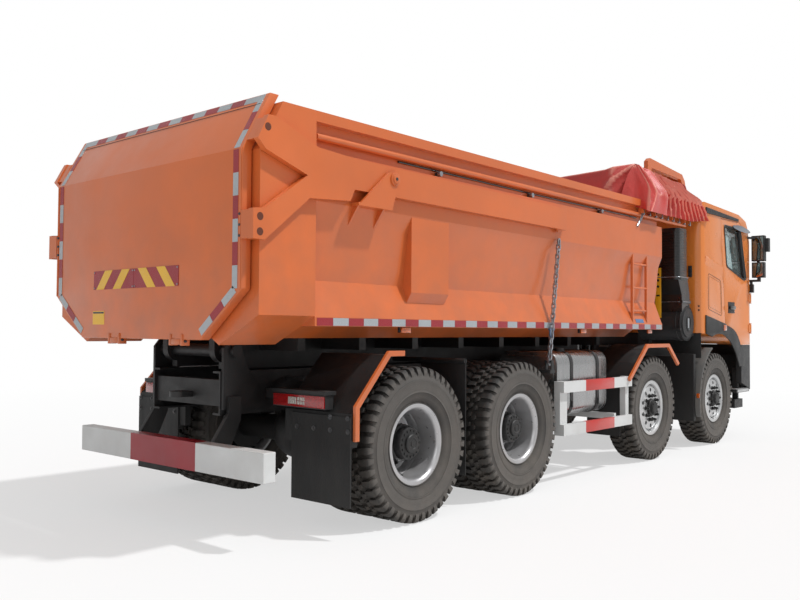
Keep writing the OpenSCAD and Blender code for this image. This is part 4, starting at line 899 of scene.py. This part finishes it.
def rounded_path(points, radius, steps=5):
    """A closed path of points with its corners rounded; radius is cut off each side of a corner."""
    out = []
    points = [Vector(p) for p in points]
    n = len(points)
    for i, p in enumerate(points):
        before, after = points[i - 1], points[(i + 1) % n]
        a = p + (before - p).normalized() * min(radius, (before - p).length / 2.1)
        b = p + (after - p).normalized() * min(radius, (after - p).length / 2.1)
        for k in range(steps + 1):
            t = k / steps
            out.append(a * (1 - t) ** 2 + p * 2 * t * (1 - t) + b * t * t)
    return out


# Middle of the door handles' plates
HANDLE_X, HANDLE_Z = 3.410, 1.680


def on_doors(name, form, material, bevel=0.0, **options):
    """Places a form made for the left door on both doors."""
    for side, s in SIDES.items():
        place(f"{name}_{side}", form.moved((0, 0, 0), s), f"door_{side}", material, bevel=bevel, **options)


def add_door_parts():
    y = CAB_HALF
    f = CAB_FRONT
    edge = [(f - 1.190, 2.710), (f - 1.110, 2.200), (f - 0.500, 2.060), (f - 0.400, 2.060),
            (f - 0.600, 2.680), (f - 0.650, 2.710)]
    seal = Form().tube(rounded_path([(x, y - 0.003, z) for x, z in edge], 0.05), 0.012, 10, closed=True)
    seal.prism([(f - 0.475, 2.064), (f - 0.412, 2.064), (f - 0.606, 2.676), (f - 0.662, 2.676)], 1,
               y - 0.024, y + 0.002)
    on_doors("door_window_seal", seal, black_plastic, angle=40)
    plate, grip, lock = Form(), Form(), Form()
    x, z = HANDLE_X, HANDLE_Z
    plate.box((x - 0.110, y - 0.002, z - 0.070), (x + 0.110, y + 0.006, z + 0.070))
    grip.box((x - 0.092, y + 0.014, z - 0.024), (x + 0.086, y + 0.030, z + 0.022))
    for dx in (-0.072, 0.072):
        grip.rod((x + dx, y + 0.002, z), (x + dx, y + 0.022, z), 0.011, 14)
    lock.rod((x + 0.090, y, z - 0.044), (x + 0.090, y + 0.010, z - 0.044), 0.008, 18)
    on_doors("door_handle_plate", plate, black_plastic, 0.003)
    on_doors("door_handle_grip", grip, gloss_black, 0.004, clean=True)
    on_doors("door_lock", lock, zinc, 0.001)
    # The deflector above the window: a thin bowed sheet that follows the door's upper edge
    steps, start, length = 18, 3.470, 0.590
    sheet = Form()
    verts = []
    for out in (0.0, 0.004):
        for i in range(steps + 1):
            u = i / steps
            bow = math.sin(math.pi * min(1.0, 0.04 + 0.93 * u)) ** 0.6
            x = start + length * u
            top = 2.722 + 0.036 * math.sin(math.pi * (0.1 + 0.85 * u))
            for k in range(5):
                t = k / 4
                verts.append((x + 0.03 * t * u, y + 0.004 + out + 0.045 * bow * t ** 1.4,
                              top - 0.094 * bow * t))
    half = 5 * (steps + 1)
    faces = []
    for i in range(steps):
        for k in range(4):
            a = 5 * i + k
            faces.append([a, a + 1, a + 6, a + 5])
            faces.append([half + a, half + a + 5, half + a + 6, half + a + 1])
    border = [5 * i for i in range(steps)] + [5 * steps + k for k in range(4)]
    border += [5 * i + 4 for i in range(steps, 0, -1)] + [k for k in range(4, 0, -1)]
    faces += [[a, b, half + b, half + a] for a, b in zip(border, border[1:] + border[:1])]
    sheet.add(verts, faces)
    on_doors("door_deflector", sheet, smoked_plastic, clean=True, angle=50)


def add_cab_lines():
    y = CAB_HALF
    groove = Form()
    for corners, round_r, line_r in (
            (((2.640, 2.079), (3.055, 2.005), (3.085, 1.569), (2.634, 1.646)), 0.045, 0.0030),
            (((2.668, 2.046), (3.028, 1.983), (3.055, 1.605), (2.662, 1.674)), 0.035, 0.0016)):
        groove.tube(rounded_path([(x, y, z) for x, z in corners], round_r), line_r, 6, closed=True)
    place("cab_panel_lines", groove.both(), "chassis", gap_black)
    crease = Form()
    ends = (2.545, 2.287), (3.118, 2.190)
    rows = [(0.0, 0.0003), (0.012, 0.0060), (0.022, 0.0062), (0.110, 0.0003)]
    verts = [(x, y + out, z - drop) for x, z in ends for drop, out in rows]
    verts += [(x, y - 0.004, z - drop) for x, z in ends for drop, out in (rows[0], rows[-1])]
    crease.add(verts, [[0, 1, 5, 4], [1, 2, 6, 5], [2, 3, 7, 6], [0, 8, 9, 3, 2, 1], [4, 5, 6, 7, 11, 10],
                       [0, 4, 10, 8], [3, 9, 11, 7], [8, 10, 11, 9]])
    pair("cab_crease", crease, "chassis", cab_paint, angle=20)
    lamp, bezel = Form(), Form()
    bezel.box((3.090, y + 0.008, 1.384), (3.204, y + 0.0175, 1.462))
    lamp.box((3.096, y + 0.014, 1.389), (3.198, y + 0.024, 1.457))
    pair("cab_side_lamp_bezel", bezel, "chassis", gloss_black, bevel=0.003)
    pair("cab_side_lamp", lamp, "chassis", amber_lens, bevel=0.006)
    bolts = Form()
    for z in (1.677, 1.629):
        bolts.rod((2.448, 1.190, z), (2.470, 1.190, z), 0.009, 14)
    place("cab_corner_bolts", bolts.both(), "chassis", gap_black, bevel=0.001)
    latch = Form().box((2.424, -1.117, 2.026), (2.450, -1.077, 2.160))
    latch.rod((2.416, -1.097, 2.120), (2.450, -1.097, 2.120), 0.014, 18)
    latch.rod((2.420, -1.097, 2.060), (2.450, -1.097, 2.060), 0.010, 18)
    place("cab_rear_latch", latch, "chassis", black_plastic, bevel=0.004, clean=True)


def add_mirror_glass():
    x = CAB_FRONT - 0.250
    faces, amber = Form(), Form()
    y = CAB_HALF
    for y0, y1, z0, z1 in ((y + 0.034, y + 0.173, 2.330, 2.640), (y + 0.038, y + 0.167, 2.112, 2.284)):
        faces.box((x - 0.0015, y0, z0), (x + 0.004, y1, z1))
    amber.prism([(y + 0.090, 2.100), (y + 0.165, 2.125), (y + 0.165, 2.150), (y + 0.080, 2.118)], 0,
                x - 0.004, x + 0.006)
    pair("mirror_glass", faces, "chassis", mirror_glass, bevel=0.012, segments=3)
    pair("mirror_indicator", amber, "chassis", amber_lens, bevel=0.003)


def windscreen_x(z, out=0.0):
    return CAB_FRONT - 0.140 - (z - 2.080) * 0.248 / 0.620 + out


def add_wipers():
    corners = [(windscreen_x(z), y, z) for y, z in ((-1.004, 2.084), (1.004, 2.084), (1.004, 2.694),
                                                    (-1.004, 2.694))]
    seal = Form().tube(rounded_path(corners, 0.08), 0.014, 10, closed=True)
    place("windscreen_seal", seal, "chassis", black_plastic)
    arms = Form()
    for foot, tip in ((-0.42, -0.92), (0.10, -0.40), (0.62, 0.12)):
        middle = (foot + tip) / 2
        arms.rod((CAB_FRONT - 0.120, foot, 2.048), (CAB_FRONT - 0.088, foot, 2.056), 0.020, 18)
        arms.tube([(CAB_FRONT - 0.092, foot, 2.056), (windscreen_x(2.115, 0.035), foot - 0.03, 2.115),
                   (windscreen_x(2.190, 0.022), middle, 2.190)], 0.008, 8)
        arms.tube([(windscreen_x(2.140, 0.012), tip - 0.02, 2.140),
                   (windscreen_x(2.190, 0.014), middle, 2.190),
                   (windscreen_x(2.240, 0.012), foot - 0.02, 2.240)], 0.007, 8)
    place("wipers", arms, "chassis", black_plastic, clean=True)


def add_front_lamps():
    lenses, rings, strip, turn = Form(), Form(), Form(), Form()
    for y, z, front, r in ((0.760, 0.930, 4.353, 0.066), (0.925, 0.930, 4.344, 0.060)):
        lenses.rod((front - 0.020, y, z), (front + 0.004, y, z), r, 32)
        rings.tube([(front + 0.002, y + (r + 0.008) * math.cos(t), z + (r + 0.008) * math.sin(t))
                    for t in (2 * math.pi * k / 36 for k in range(36))], 0.006, 8, closed=True)
    strip.box((4.340, 0.672, 1.012), (4.357, 0.900, 1.026))
    turn.box((4.290, 1.010, 0.860), (4.318, 1.060, 1.010))
    pair("front_lamp_lens", lenses, "chassis", clear_lens, bevel=0.004)
    place("front_lamp_ring", rings.both(), "chassis", chrome)
    pair("front_lamp_strip", strip, "chassis", white_paint, bevel=0.003)
    pair("front_lamp_turn", turn, "chassis", amber_lens, bevel=0.005)


def add_steps():
    tread = Form()
    tread.box((3.612, 1.052, 0.6315), (4.062, 1.2285, 0.6345))
    for k in range(14):
        x = 3.632 + k * 0.0315
        tread.box((x, 1.062, 0.634), (x + 0.010, 1.220, 0.6375))
    tread.box((3.640, 1.2290, 0.594), (4.050, 1.2315, 0.628))
    pair("step_tread", tread, "chassis", aluminium, bevel=0.0008)


add_door_parts()
add_cab_lines()
add_mirror_glass()
add_wipers()
add_front_lamps()
add_steps()


# Body and chassis details

def skirt_y(z):
    """Width of the tipping body on the slope above its sill."""
    return BED_HALF - 0.088 * (z - 1.450) / 0.238


def add_bed_details():
    cable = Form().tube([(-2.960, 1.128, 2.577), (-1.0, 1.128, 2.571), (0.900, 1.128, 2.577)], 0.008, 8)
    place("tarp_cable", cable.both(), "bed", gloss_black)
    rollers, mounts = Form(), Form()
    for x in (-2.518, -1.224, 0.059):
        rollers.rod((x, 1.150, 2.548), (x, 1.178, 2.548), 0.020, 20)
        rollers.rod((x, 1.176, 2.548), (x, 1.1795, 2.548), 0.008, 12)
        mounts.box((x - 0.012, 1.122, 2.522), (x + 0.012, 1.152, 2.560))
    place("cable_rollers", rollers.both(), "bed", zinc, bevel=0.003)
    pair("cable_roller_mounts", mounts, "bed", steel_dark, bevel=0.002)
    x0, x1, z0, z1 = 0.800, 0.985, 1.462, 1.500
    verts = [(x, skirt_y(z) + out, z) for out in (0.0030, -0.002)
             for x, z in ((x0, z0), (x1, z0), (x1, z1), (x0, z1))]
    plate = Form().add(verts, BOX_FACES)
    place("blank_plate", plate.moved((0, 0, 0), SIDES["right"]), "bed", blue_sheet, clean=True)
    lever, trolleys = Form(), Form()
    lever.tube([(0.940, 1.186, 2.625), (0.915, 1.188, 2.580), (0.800, 1.190, 2.470)], 0.012, 10, flat=0.5)
    pair("tarp_lever", lever, "bed", zinc)
    for k in range(9):
        x = 0.96 + 0.155 * k
        trolleys.rod((x, 1.174, 2.622), (x, 1.198, 2.622), 0.013, 16)
        trolleys.box((x - 0.008, 1.190, 2.622), (x + 0.008, 1.197, 2.668))
    pair("tarp_rollers", trolleys, "bed", zinc, bevel=0.002)


def add_chain_shackles():
    """The shackle that joins each chain's long lower end to its links."""
    shackle = Form()
    x, y, z = -0.966, 1.208, 1.345
    shackle.tube([(x - 0.024, y, z + 0.045), (x - 0.024, y, z), (x - 0.016, y, z - 0.022), (x, y, z - 0.030),
                  (x + 0.016, y, z - 0.022), (x + 0.024, y, z), (x + 0.024, y, z + 0.045)], 0.009, 10)
    shackle.rod((x - 0.042, y, z + 0.040), (x + 0.042, y, z + 0.040), 0.010, 14)
    pair("chain_shackles", shackle, "lift_chains", blue_steel, angle=40)


def add_filter_details():
    x, z = CAB_REAR - 0.240, 1.470
    rim = Form()
    for y in (-1.140, -1.085):
        rim.lathe([(0.192, -0.010), (0.203, -0.010), (0.207, -0.005), (0.207, 0.006), (0.203, 0.010),
                   (0.192, 0.010)], (x, y, z), -1, 64, close=True)
    for turn in (80, 200, 320):
        t = math.radians(turn)
        cx, cz = x + 0.206 * math.cos(t), z + 0.206 * math.sin(t)
        rim.tube([(cx, -1.155, cz), (cx, -1.120, cz), (cx, -1.070, cz)], 0.016, 8)
    rim.tube([(x + 0.058 * math.cos(t), -1.166, z + 0.086 * math.sin(t))
              for t in (2 * math.pi * k / 40 for k in range(40))], 0.009, 8, closed=True)
    place("air_filter_rim", rim, "chassis", black_plastic, clean=True, angle=40)
    plate = Form().box((x - 0.018, -1.1695, z - 0.058), (x + 0.018, -1.1640, z + 0.058))
    place("air_filter_plate", plate, "chassis", silver_sheet, bevel=0.0015)
    clamps = Form()
    for x0, x1, y0, y1, cz in ((1.914, 2.236, -1.176, -0.744, 2.000), (2.028, 2.282, -1.168, -0.752, 1.718)):
        clamps.tube(rounded_path([(x0, y0, cz), (x1, y0, cz), (x1, y1, cz), (x0, y1, cz)], 0.06), 0.004, 6,
                    closed=True)
    place("duct_clamps", clamps, "chassis", zinc)
    strip, marks = Form(), Form()
    strip.box((1.9140, -0.961, 1.530), (1.9210, -0.888, 2.110))
    place("duct_strip", strip, "chassis", yellow_sheet, bevel=0.002)
    for cz in (2.035, 1.965, 1.895):
        marks.rod((1.9125, -0.925, cz), (1.9165, -0.925, cz), 0.015, 20)
    marks.box((1.9130, -0.945, 1.780), (1.9160, -0.904, 1.800))
    place("duct_strip_marks", marks, "chassis", gap_black)


def add_guard_details():
    flare, lamps = Form(), Form()
    x, z = AXLE[1], WHEEL_R
    arc = [math.radians(115 + 80 * k / 24) for k in range(25)]
    inner = [(x + 0.676 * math.cos(t), z + 0.676 * math.sin(t)) for t in arc]
    outer = [(x + 0.694 * math.cos(t), z + 0.694 * math.sin(t)) for t in arc]
    flare.prism(inner + outer[::-1], 1, 1.100, 1.272)
    pair("wheel_flare", flare, "chassis", grey_plastic, bevel=0.005, angle=40)
    lamps.box((2.262, 1.232, 0.599), (2.284, 1.268, 0.652))
    pair("flare_lamp", lamps, "chassis", amber_lens, bevel=0.004)
    bolts = Form()
    for y, bz in ((1.050, 0.790), (1.213, 0.790), (0.727, 0.704), (0.893, 0.704), (1.052, 0.704),
                  (1.215, 0.704)):
        for length, radius, sides in ((0.004, 0.018, 20), (0.011, 0.010, 6)):
            bolts.rod((AXLE[4] - 0.711 - length, y, bz), (AXLE[4] - 0.711, y, bz), radius, sides)
    place("flap_bolts", bolts.both(), "chassis", steel_dark, bevel=0.0015)
    flap = Form()
    fx = (AXLE[3] + AXLE[4]) / 2
    flap.box((fx - 0.005, 0.700, 0.240), (fx + 0.005, 1.150, 1.150))
    flap.rod((fx, 0.400, 1.130), (fx, 1.145, 1.130), 0.020, 14)
    pair("middle_flap", flap, "chassis", flap_rubber, bevel=0.003)


def add_fuel_tank():
    """A brushed tank with rounded corners, two black straps, their brackets and a cap."""
    x0 = AXLE[3] + 0.770
    length, y0, y1, z0, z1 = 0.960, -1.120, -0.480, 0.580, 1.180

    def section(grow, radius):
        path = rounded_path([(0, y0 - grow, z0 - grow), (0, y1 + grow, z0 - grow), (0, y1 + grow, z1 + grow),
                             (0, y0 - grow, z1 + grow)], radius, 8)
        return [(p.y, p.z) for p in path]
    body = Form().prism(section(0.0, 0.130), 0, x0, x0 + length)
    body.prism(section(-0.035, 0.110), 0, x0 - 0.004, x0 + length + 0.004)
    place("tank_body", body, "chassis", tank_metal, bevel=0.008, replaces=("fuel_tank",), clean=True,
          angle=40)
    straps, cap = Form(), Form()
    for k in (0.27, 0.80):
        x = x0 + k * length
        straps.prism(section(0.006, 0.134), 0, x - 0.025, x + 0.025)
        straps.box((x - 0.025, y1, 0.640), (x + 0.025, -0.425, 1.000))
        straps.box((x - 0.012, y0 - 0.014, 0.660), (x + 0.012, y0 - 0.004, 0.720))
    place("tank_straps", straps, "chassis", black_plastic, bevel=0.002, replaces=("fuel_tank",), clean=True,
          angle=40)
    cx, cy = x0 + 0.260, y0 + 0.130
    cap.rod((cx, cy, z1 - 0.010), (cx, cy, z1 + 0.010), 0.050, 32)
    cap.rod((cx, cy, z1 + 0.008), (cx, cy, z1 + 0.030), 0.043, 12)
    place("tank_cap", cap, "chassis", black_plastic, bevel=0.002, replaces=("fuel_tank",), clean=True)


def add_pivot_heads():
    """Heads of the pins that the tailgate's levers turn on."""
    head, bolt = Form(), Form()
    x, z = PIVOT_X, PIVOT_Z
    head.rod((x, 1.254, z), (x, 1.268, z), 0.046, 36)
    head.rod((x, 1.254, z), (x, 1.276, z), 0.030, 36)
    bolt.rod((x, 1.270, z), (x, 1.280, z), 0.012, 6)
    pair("pivot_pin_head", head, "bed", paint, bevel=0.003)
    place("pivot_pin_bolt", bolt.both(), "bed", steel_dark, bevel=0.001)


def add_cab_underside():
    """A dark liner under the cab's floor and the shield that hangs behind the engine."""
    liner, shield = Form(), Form()
    for y0, y1, bottom in ((-1.215, -0.42, 1.060), (0.42, 1.215, 1.060), (-0.42, 0.42, 1.200)):
        liner.box((CAB_REAR + 0.045, y0, 1.3515), (CAB_REAR + 0.30, y1, 1.3590))
        shield.box((CAB_REAR + 0.010, y0, bottom), (CAB_REAR + 0.018, y1, 1.352))
    place("cab_floor_liner", liner, "chassis", flap_rubber, clean=True)
    place("engine_shield", shield, "chassis", flap_rubber, bevel=0.002, clean=True)


add_pivot_heads()
add_cab_underside()
add_bed_details()
add_chain_shackles()
add_filter_details()
add_guard_details()
add_fuel_tank()


# Tarp: one gathered sheet, fanned out in pleats along both sides and bunched across behind the cab guard

PLEATS = 10
TARP_ROWS = 240
CLOSING_ROWS = 14
TARP_COLUMNS = 120
# How far along the sheet its rear flap and the smooth panel before the pleats reach
FLAP_U = 0.09
PANEL_U = 0.30
# From the middle to the edge along the fabric, and where the fabric over the cab guard is let in
GUARD_W = 0.585


def ramp(value, low, high):
    return min(1.0, max(0.0, (value - low) / (high - low)))


def envelope(w, u):
    """Across the tarp: w is 0 in the middle and 1 at the lower edge; gives |y|, z of the outer form."""
    ridge = 3.195 - 0.06 * u
    crown = 3.10 + 0.03 * u
    points = [(0.0, 0.0, crown), (0.45, 0.78, crown + 0.03), (0.60, 1.04, ridge), (0.64, 1.08, ridge - 0.01),
              (0.66, 1.105, ridge - 0.05), (0.78, 1.245, 2.93), (0.82, 1.270, 2.86),
              (1.0, 1.282, 2.635 + 0.06 * ramp(u, 0.7, 1.0))]
    for (w0, y0, z0), (w1, y1, z1) in zip(points, points[1:]):
        if w <= w1:
            t = (w - w0) / (w1 - w0)
            return y0 + (y1 - y0) * t, z0 + (z1 - z0) * t
    return points[-1][1:]


def pleat(t):
    """0 on an outer ridge, 1 in the fold between two; each ridge is a narrow rounded crest, its front
    flank steep and its rear one slanting."""
    t -= math.floor(t)
    if t < 0.10:
        return 0.5 - 0.5 * math.cos(math.pi * t / 0.10) if t > 0.02 else 0.0
    if t < 0.45:
        return 1.0
    return (1.0 - (t - 0.45) / 0.55) ** 0.8


def tarp_point(u, v):
    """A point of the sheet: u from its back edge to its front one, v from -1, right, to 1, left."""
    s, w = (1 if v >= 0 else -1), abs(v)
    y, z = envelope(w, u)
    side = ramp(w, 0.50, 0.63)
    fan = ramp(w, 0.62, 1.0)
    flap = ramp(u, 0.0, FLAP_U)
    run = ramp(u, FLAP_U, 1.0)
    x_middle = 0.79 + 0.10 * flap + 0.50 * run ** 0.8
    x_top = 1.02 + 0.08 * flap + 1.19 * run
    x_low = 0.90 + 0.05 * flap + 1.65 * run
    x = x_middle + (x_top + (x_low - x_top) * fan - x_middle) * side
    belly = math.sin(math.pi * fan) * flap * (1 - run) ** 2
    x += 0.09 * belly
    gathered = ramp(u, PANEL_U - 0.05, PANEL_U + 0.01)
    swing = 0.18 * fan * math.sin(7.0 * u + 1.0) + 0.18 * noise.noise(Vector((u * 6.0, 3.0, 9.0)))
    fold = pleat(ramp(u, PANEL_U, 1.0) * PLEATS + swing * gathered) * gathered
    fold += 0.35 * (1 - gathered) * math.sin(math.pi * run / 0.23) ** 2 * (1 - 0.7 * fan)
    wobble = noise.noise(Vector((u * 9.0, v * 2.5, 4.0)))
    depth = 0.135 * (0.90 + 0.35 * wobble) * side
    pocket = math.sin(math.pi * flap) ** 0.8 if flap < 1 else 0.0
    if w > 0.80:
        depth *= 1.0 - 0.40 * (w - 0.80) / 0.20
        y -= fold * depth
    else:
        y -= fold * depth * 0.75 * side
        z -= fold * depth * (0.75 + 0.25 * side)
    y -= pocket * 0.13 * ramp(w, 0.62, 0.70) * (1 - 0.6 * fan)
    middle = 1.0 - side
    z -= middle * fold * 0.05
    closing = 1.0 - ramp(w, GUARD_W, 0.635)
    back = 1.0 - flap
    z -= closing * 0.37 * back ** 1.25
    hem = math.exp(-((w - 0.62 + 0.22 * back) / 0.016) ** 2) * ramp(w, 0.40, 0.48)
    x -= 0.040 * hem * math.sin(math.pi * min(1.0, back + 0.12)) * closing
    if w > 0.9:
        z += 0.022 * fold * (w - 0.9) / 0.1
    x += 0.007 * noise.noise(Vector((u * 14, v * 4, 1.0))) + 0.03 * fold * side * (0.3 + fan)
    z += 0.005 * noise.noise(Vector((u * 20, v * 7, 7.0)))
    y += 0.005 * side * noise.noise(Vector((u * 10, v * 9, 2.0)))
    return (x, s * y, z)


def closing_point(k, v):
    """The sheet's rear hem, k from 0 on its back edge to 1: turned in across the middle, and drawn in
    from each hanging flap to the rear corner of the load space."""
    s, w = (1 if v >= 0 else -1), abs(v)
    x, y, z = tarp_point(0.0, v)
    down = ramp(w, 0.635, 1.0)
    if down == 0.0:
        return (x + 0.03 * k, y, z - 0.012 * k)
    inner = Vector((1.02 - 0.20 * down ** 0.6, s * (1.075 - 0.095 * down ** 0.5), 3.165 - 0.415 * down))
    point = Vector((x, y, z)).lerp(inner, k)
    point.x += 0.035 * math.sin(math.pi * k) * down
    point.x += 0.012 * math.sin(9.0 * k + 5.0 * down) * down * k * (1 - k) * 4
    return tuple(point)


def add_tarp():
    rows, columns = TARP_ROWS, TARP_COLUMNS
    form = Form()
    across = [-1 + 2 * j / columns for j in range(columns + 1)]
    verts = [closing_point(1 - i / CLOSING_ROWS, v) for i in range(CLOSING_ROWS) for v in across]
    verts += [tarp_point(i / rows, v) for i in range(rows + 1) for v in across]
    faces = []
    for i in range(rows + CLOSING_ROWS):
        for j in range(columns):
            w = abs(-1 + 2 * (j + 0.5) / columns)
            if w < GUARD_W and i - CLOSING_ROWS > 0.97 * rows:
                continue
            a = i * (columns + 1) + j
            faces.append([a, a + columns + 1, a + columns + 2, a + 1])
    form.add(verts, faces)
    tarp = place("tarp_cover", form, "bed", tarp_cloth, replaces=("tarp",), angle=60)


add_tarp()


# Camera, floor and light

def set_camera():
    yaw, pitch, roll = (math.radians(a) for a in (CAMERA_YAW, CAMERA_PITCH, CAMERA_ROLL))
    ahead = Vector((math.cos(yaw) * math.cos(pitch), math.sin(yaw) * math.cos(pitch), math.sin(pitch)))
    right = Vector((math.sin(yaw), -math.cos(yaw), 0))
    up = right.cross(ahead)
    right, up = right * math.cos(roll) + up * math.sin(roll), up * math.cos(roll) - right * math.sin(roll)
    data = bpy.data.cameras.new("camera")
    data.lens = CAMERA_LENS
    data.sensor_width = 36
    data.shift_x, data.shift_y = CAMERA_SHIFT
    camera = bpy.data.objects.new("camera", data)
    turn = Matrix((right, up, -ahead)).transposed().to_4x4()
    camera.matrix_world = Matrix.Translation(CAMERA_PLACE) @ turn
    bpy.context.scene.collection.objects.link(camera)
    bpy.context.scene.camera = camera


def seen_white(tree):
    """1 for rays that show the background, from the camera and through glass, and a part in gloss."""
    path = tree.nodes.new("ShaderNodeLightPath").outputs
    total = path["Is Camera Ray"]
    gloss = tree.math("MULTIPLY", path["Is Glossy Ray"], GLOSS_WHITE)
    for value in (gloss, path["Is Transmission Ray"]):
        total = tree.math("MAXIMUM", total, value)
    return total


def set_floor():
    """A pale round floor, whose own light takes over from its shadows away from the truck."""
    steps, radius = 96, 60.0
    ring = [(radius * math.cos(2 * math.pi * k / steps), radius * math.sin(2 * math.pi * k / steps), -0.002)
            for k in range(steps)]
    floor = mesh_object("floor", Form().add(ring, [list(range(steps))]))
    mat, tree, bsdf = new_material("floor_white")
    tree.fill(bsdf, {"Base Color": (0.80, 0.80, 0.80, 1), "Roughness": 0.9, "Specular IOR Level": 0.0})
    length = tree.add("VectorMath", {0: tree.coord()}, "Value", operation="LENGTH")
    far = tree.ranged(length, 4.0, 14.0, 0.55, 1.0)
    shown = tree.add("MixShader", {0: tree.math("MULTIPLY", far, seen_white(tree)), 1: bsdf.outputs[0],
                                   2: tree.add("Emission", {"Strength": 1.0})})
    tree.fill(tree.nodes["Material Output"], {"Surface": shown})
    floor.data.materials.append(mat)


def set_world():
    """A white surround that is seen at full strength and lights the truck at WORLD_FILL."""
    world = bpy.data.worlds.new("studio")
    bpy.context.scene.world = world
    world.use_nodes = True
    tree = Tree(world.node_tree)
    strength = tree.ranged(seen_white(tree), 0, 1, WORLD_FILL, 1.0)
    tree.fill(tree.nodes["Background"], {"Color": (1, 1, 1, 1), "Strength": strength})


def add_sun(name, direction, angle, strength):
    """A sun that shines from a direction; angle is its width in degrees."""
    data = bpy.data.lights.new(name, "SUN")
    data.angle = math.radians(angle)
    data.energy = strength
    lamp = bpy.data.objects.new(name, data)
    lamp.rotation_mode = "QUATERNION"
    lamp.rotation_quaternion = (-Vector(direction)).to_track_quat("-Z", "Y")
    bpy.context.scene.collection.objects.link(lamp)


set_camera()
set_floor()
set_world()
add_sun("key", (0.36, -0.50, 1.02), 3.0, 2.75)
add_sun("fill", (-0.75, -0.35, 0.45), 40.0, 0.35)

bpy.context.scene.view_settings.view_transform = "Standard"
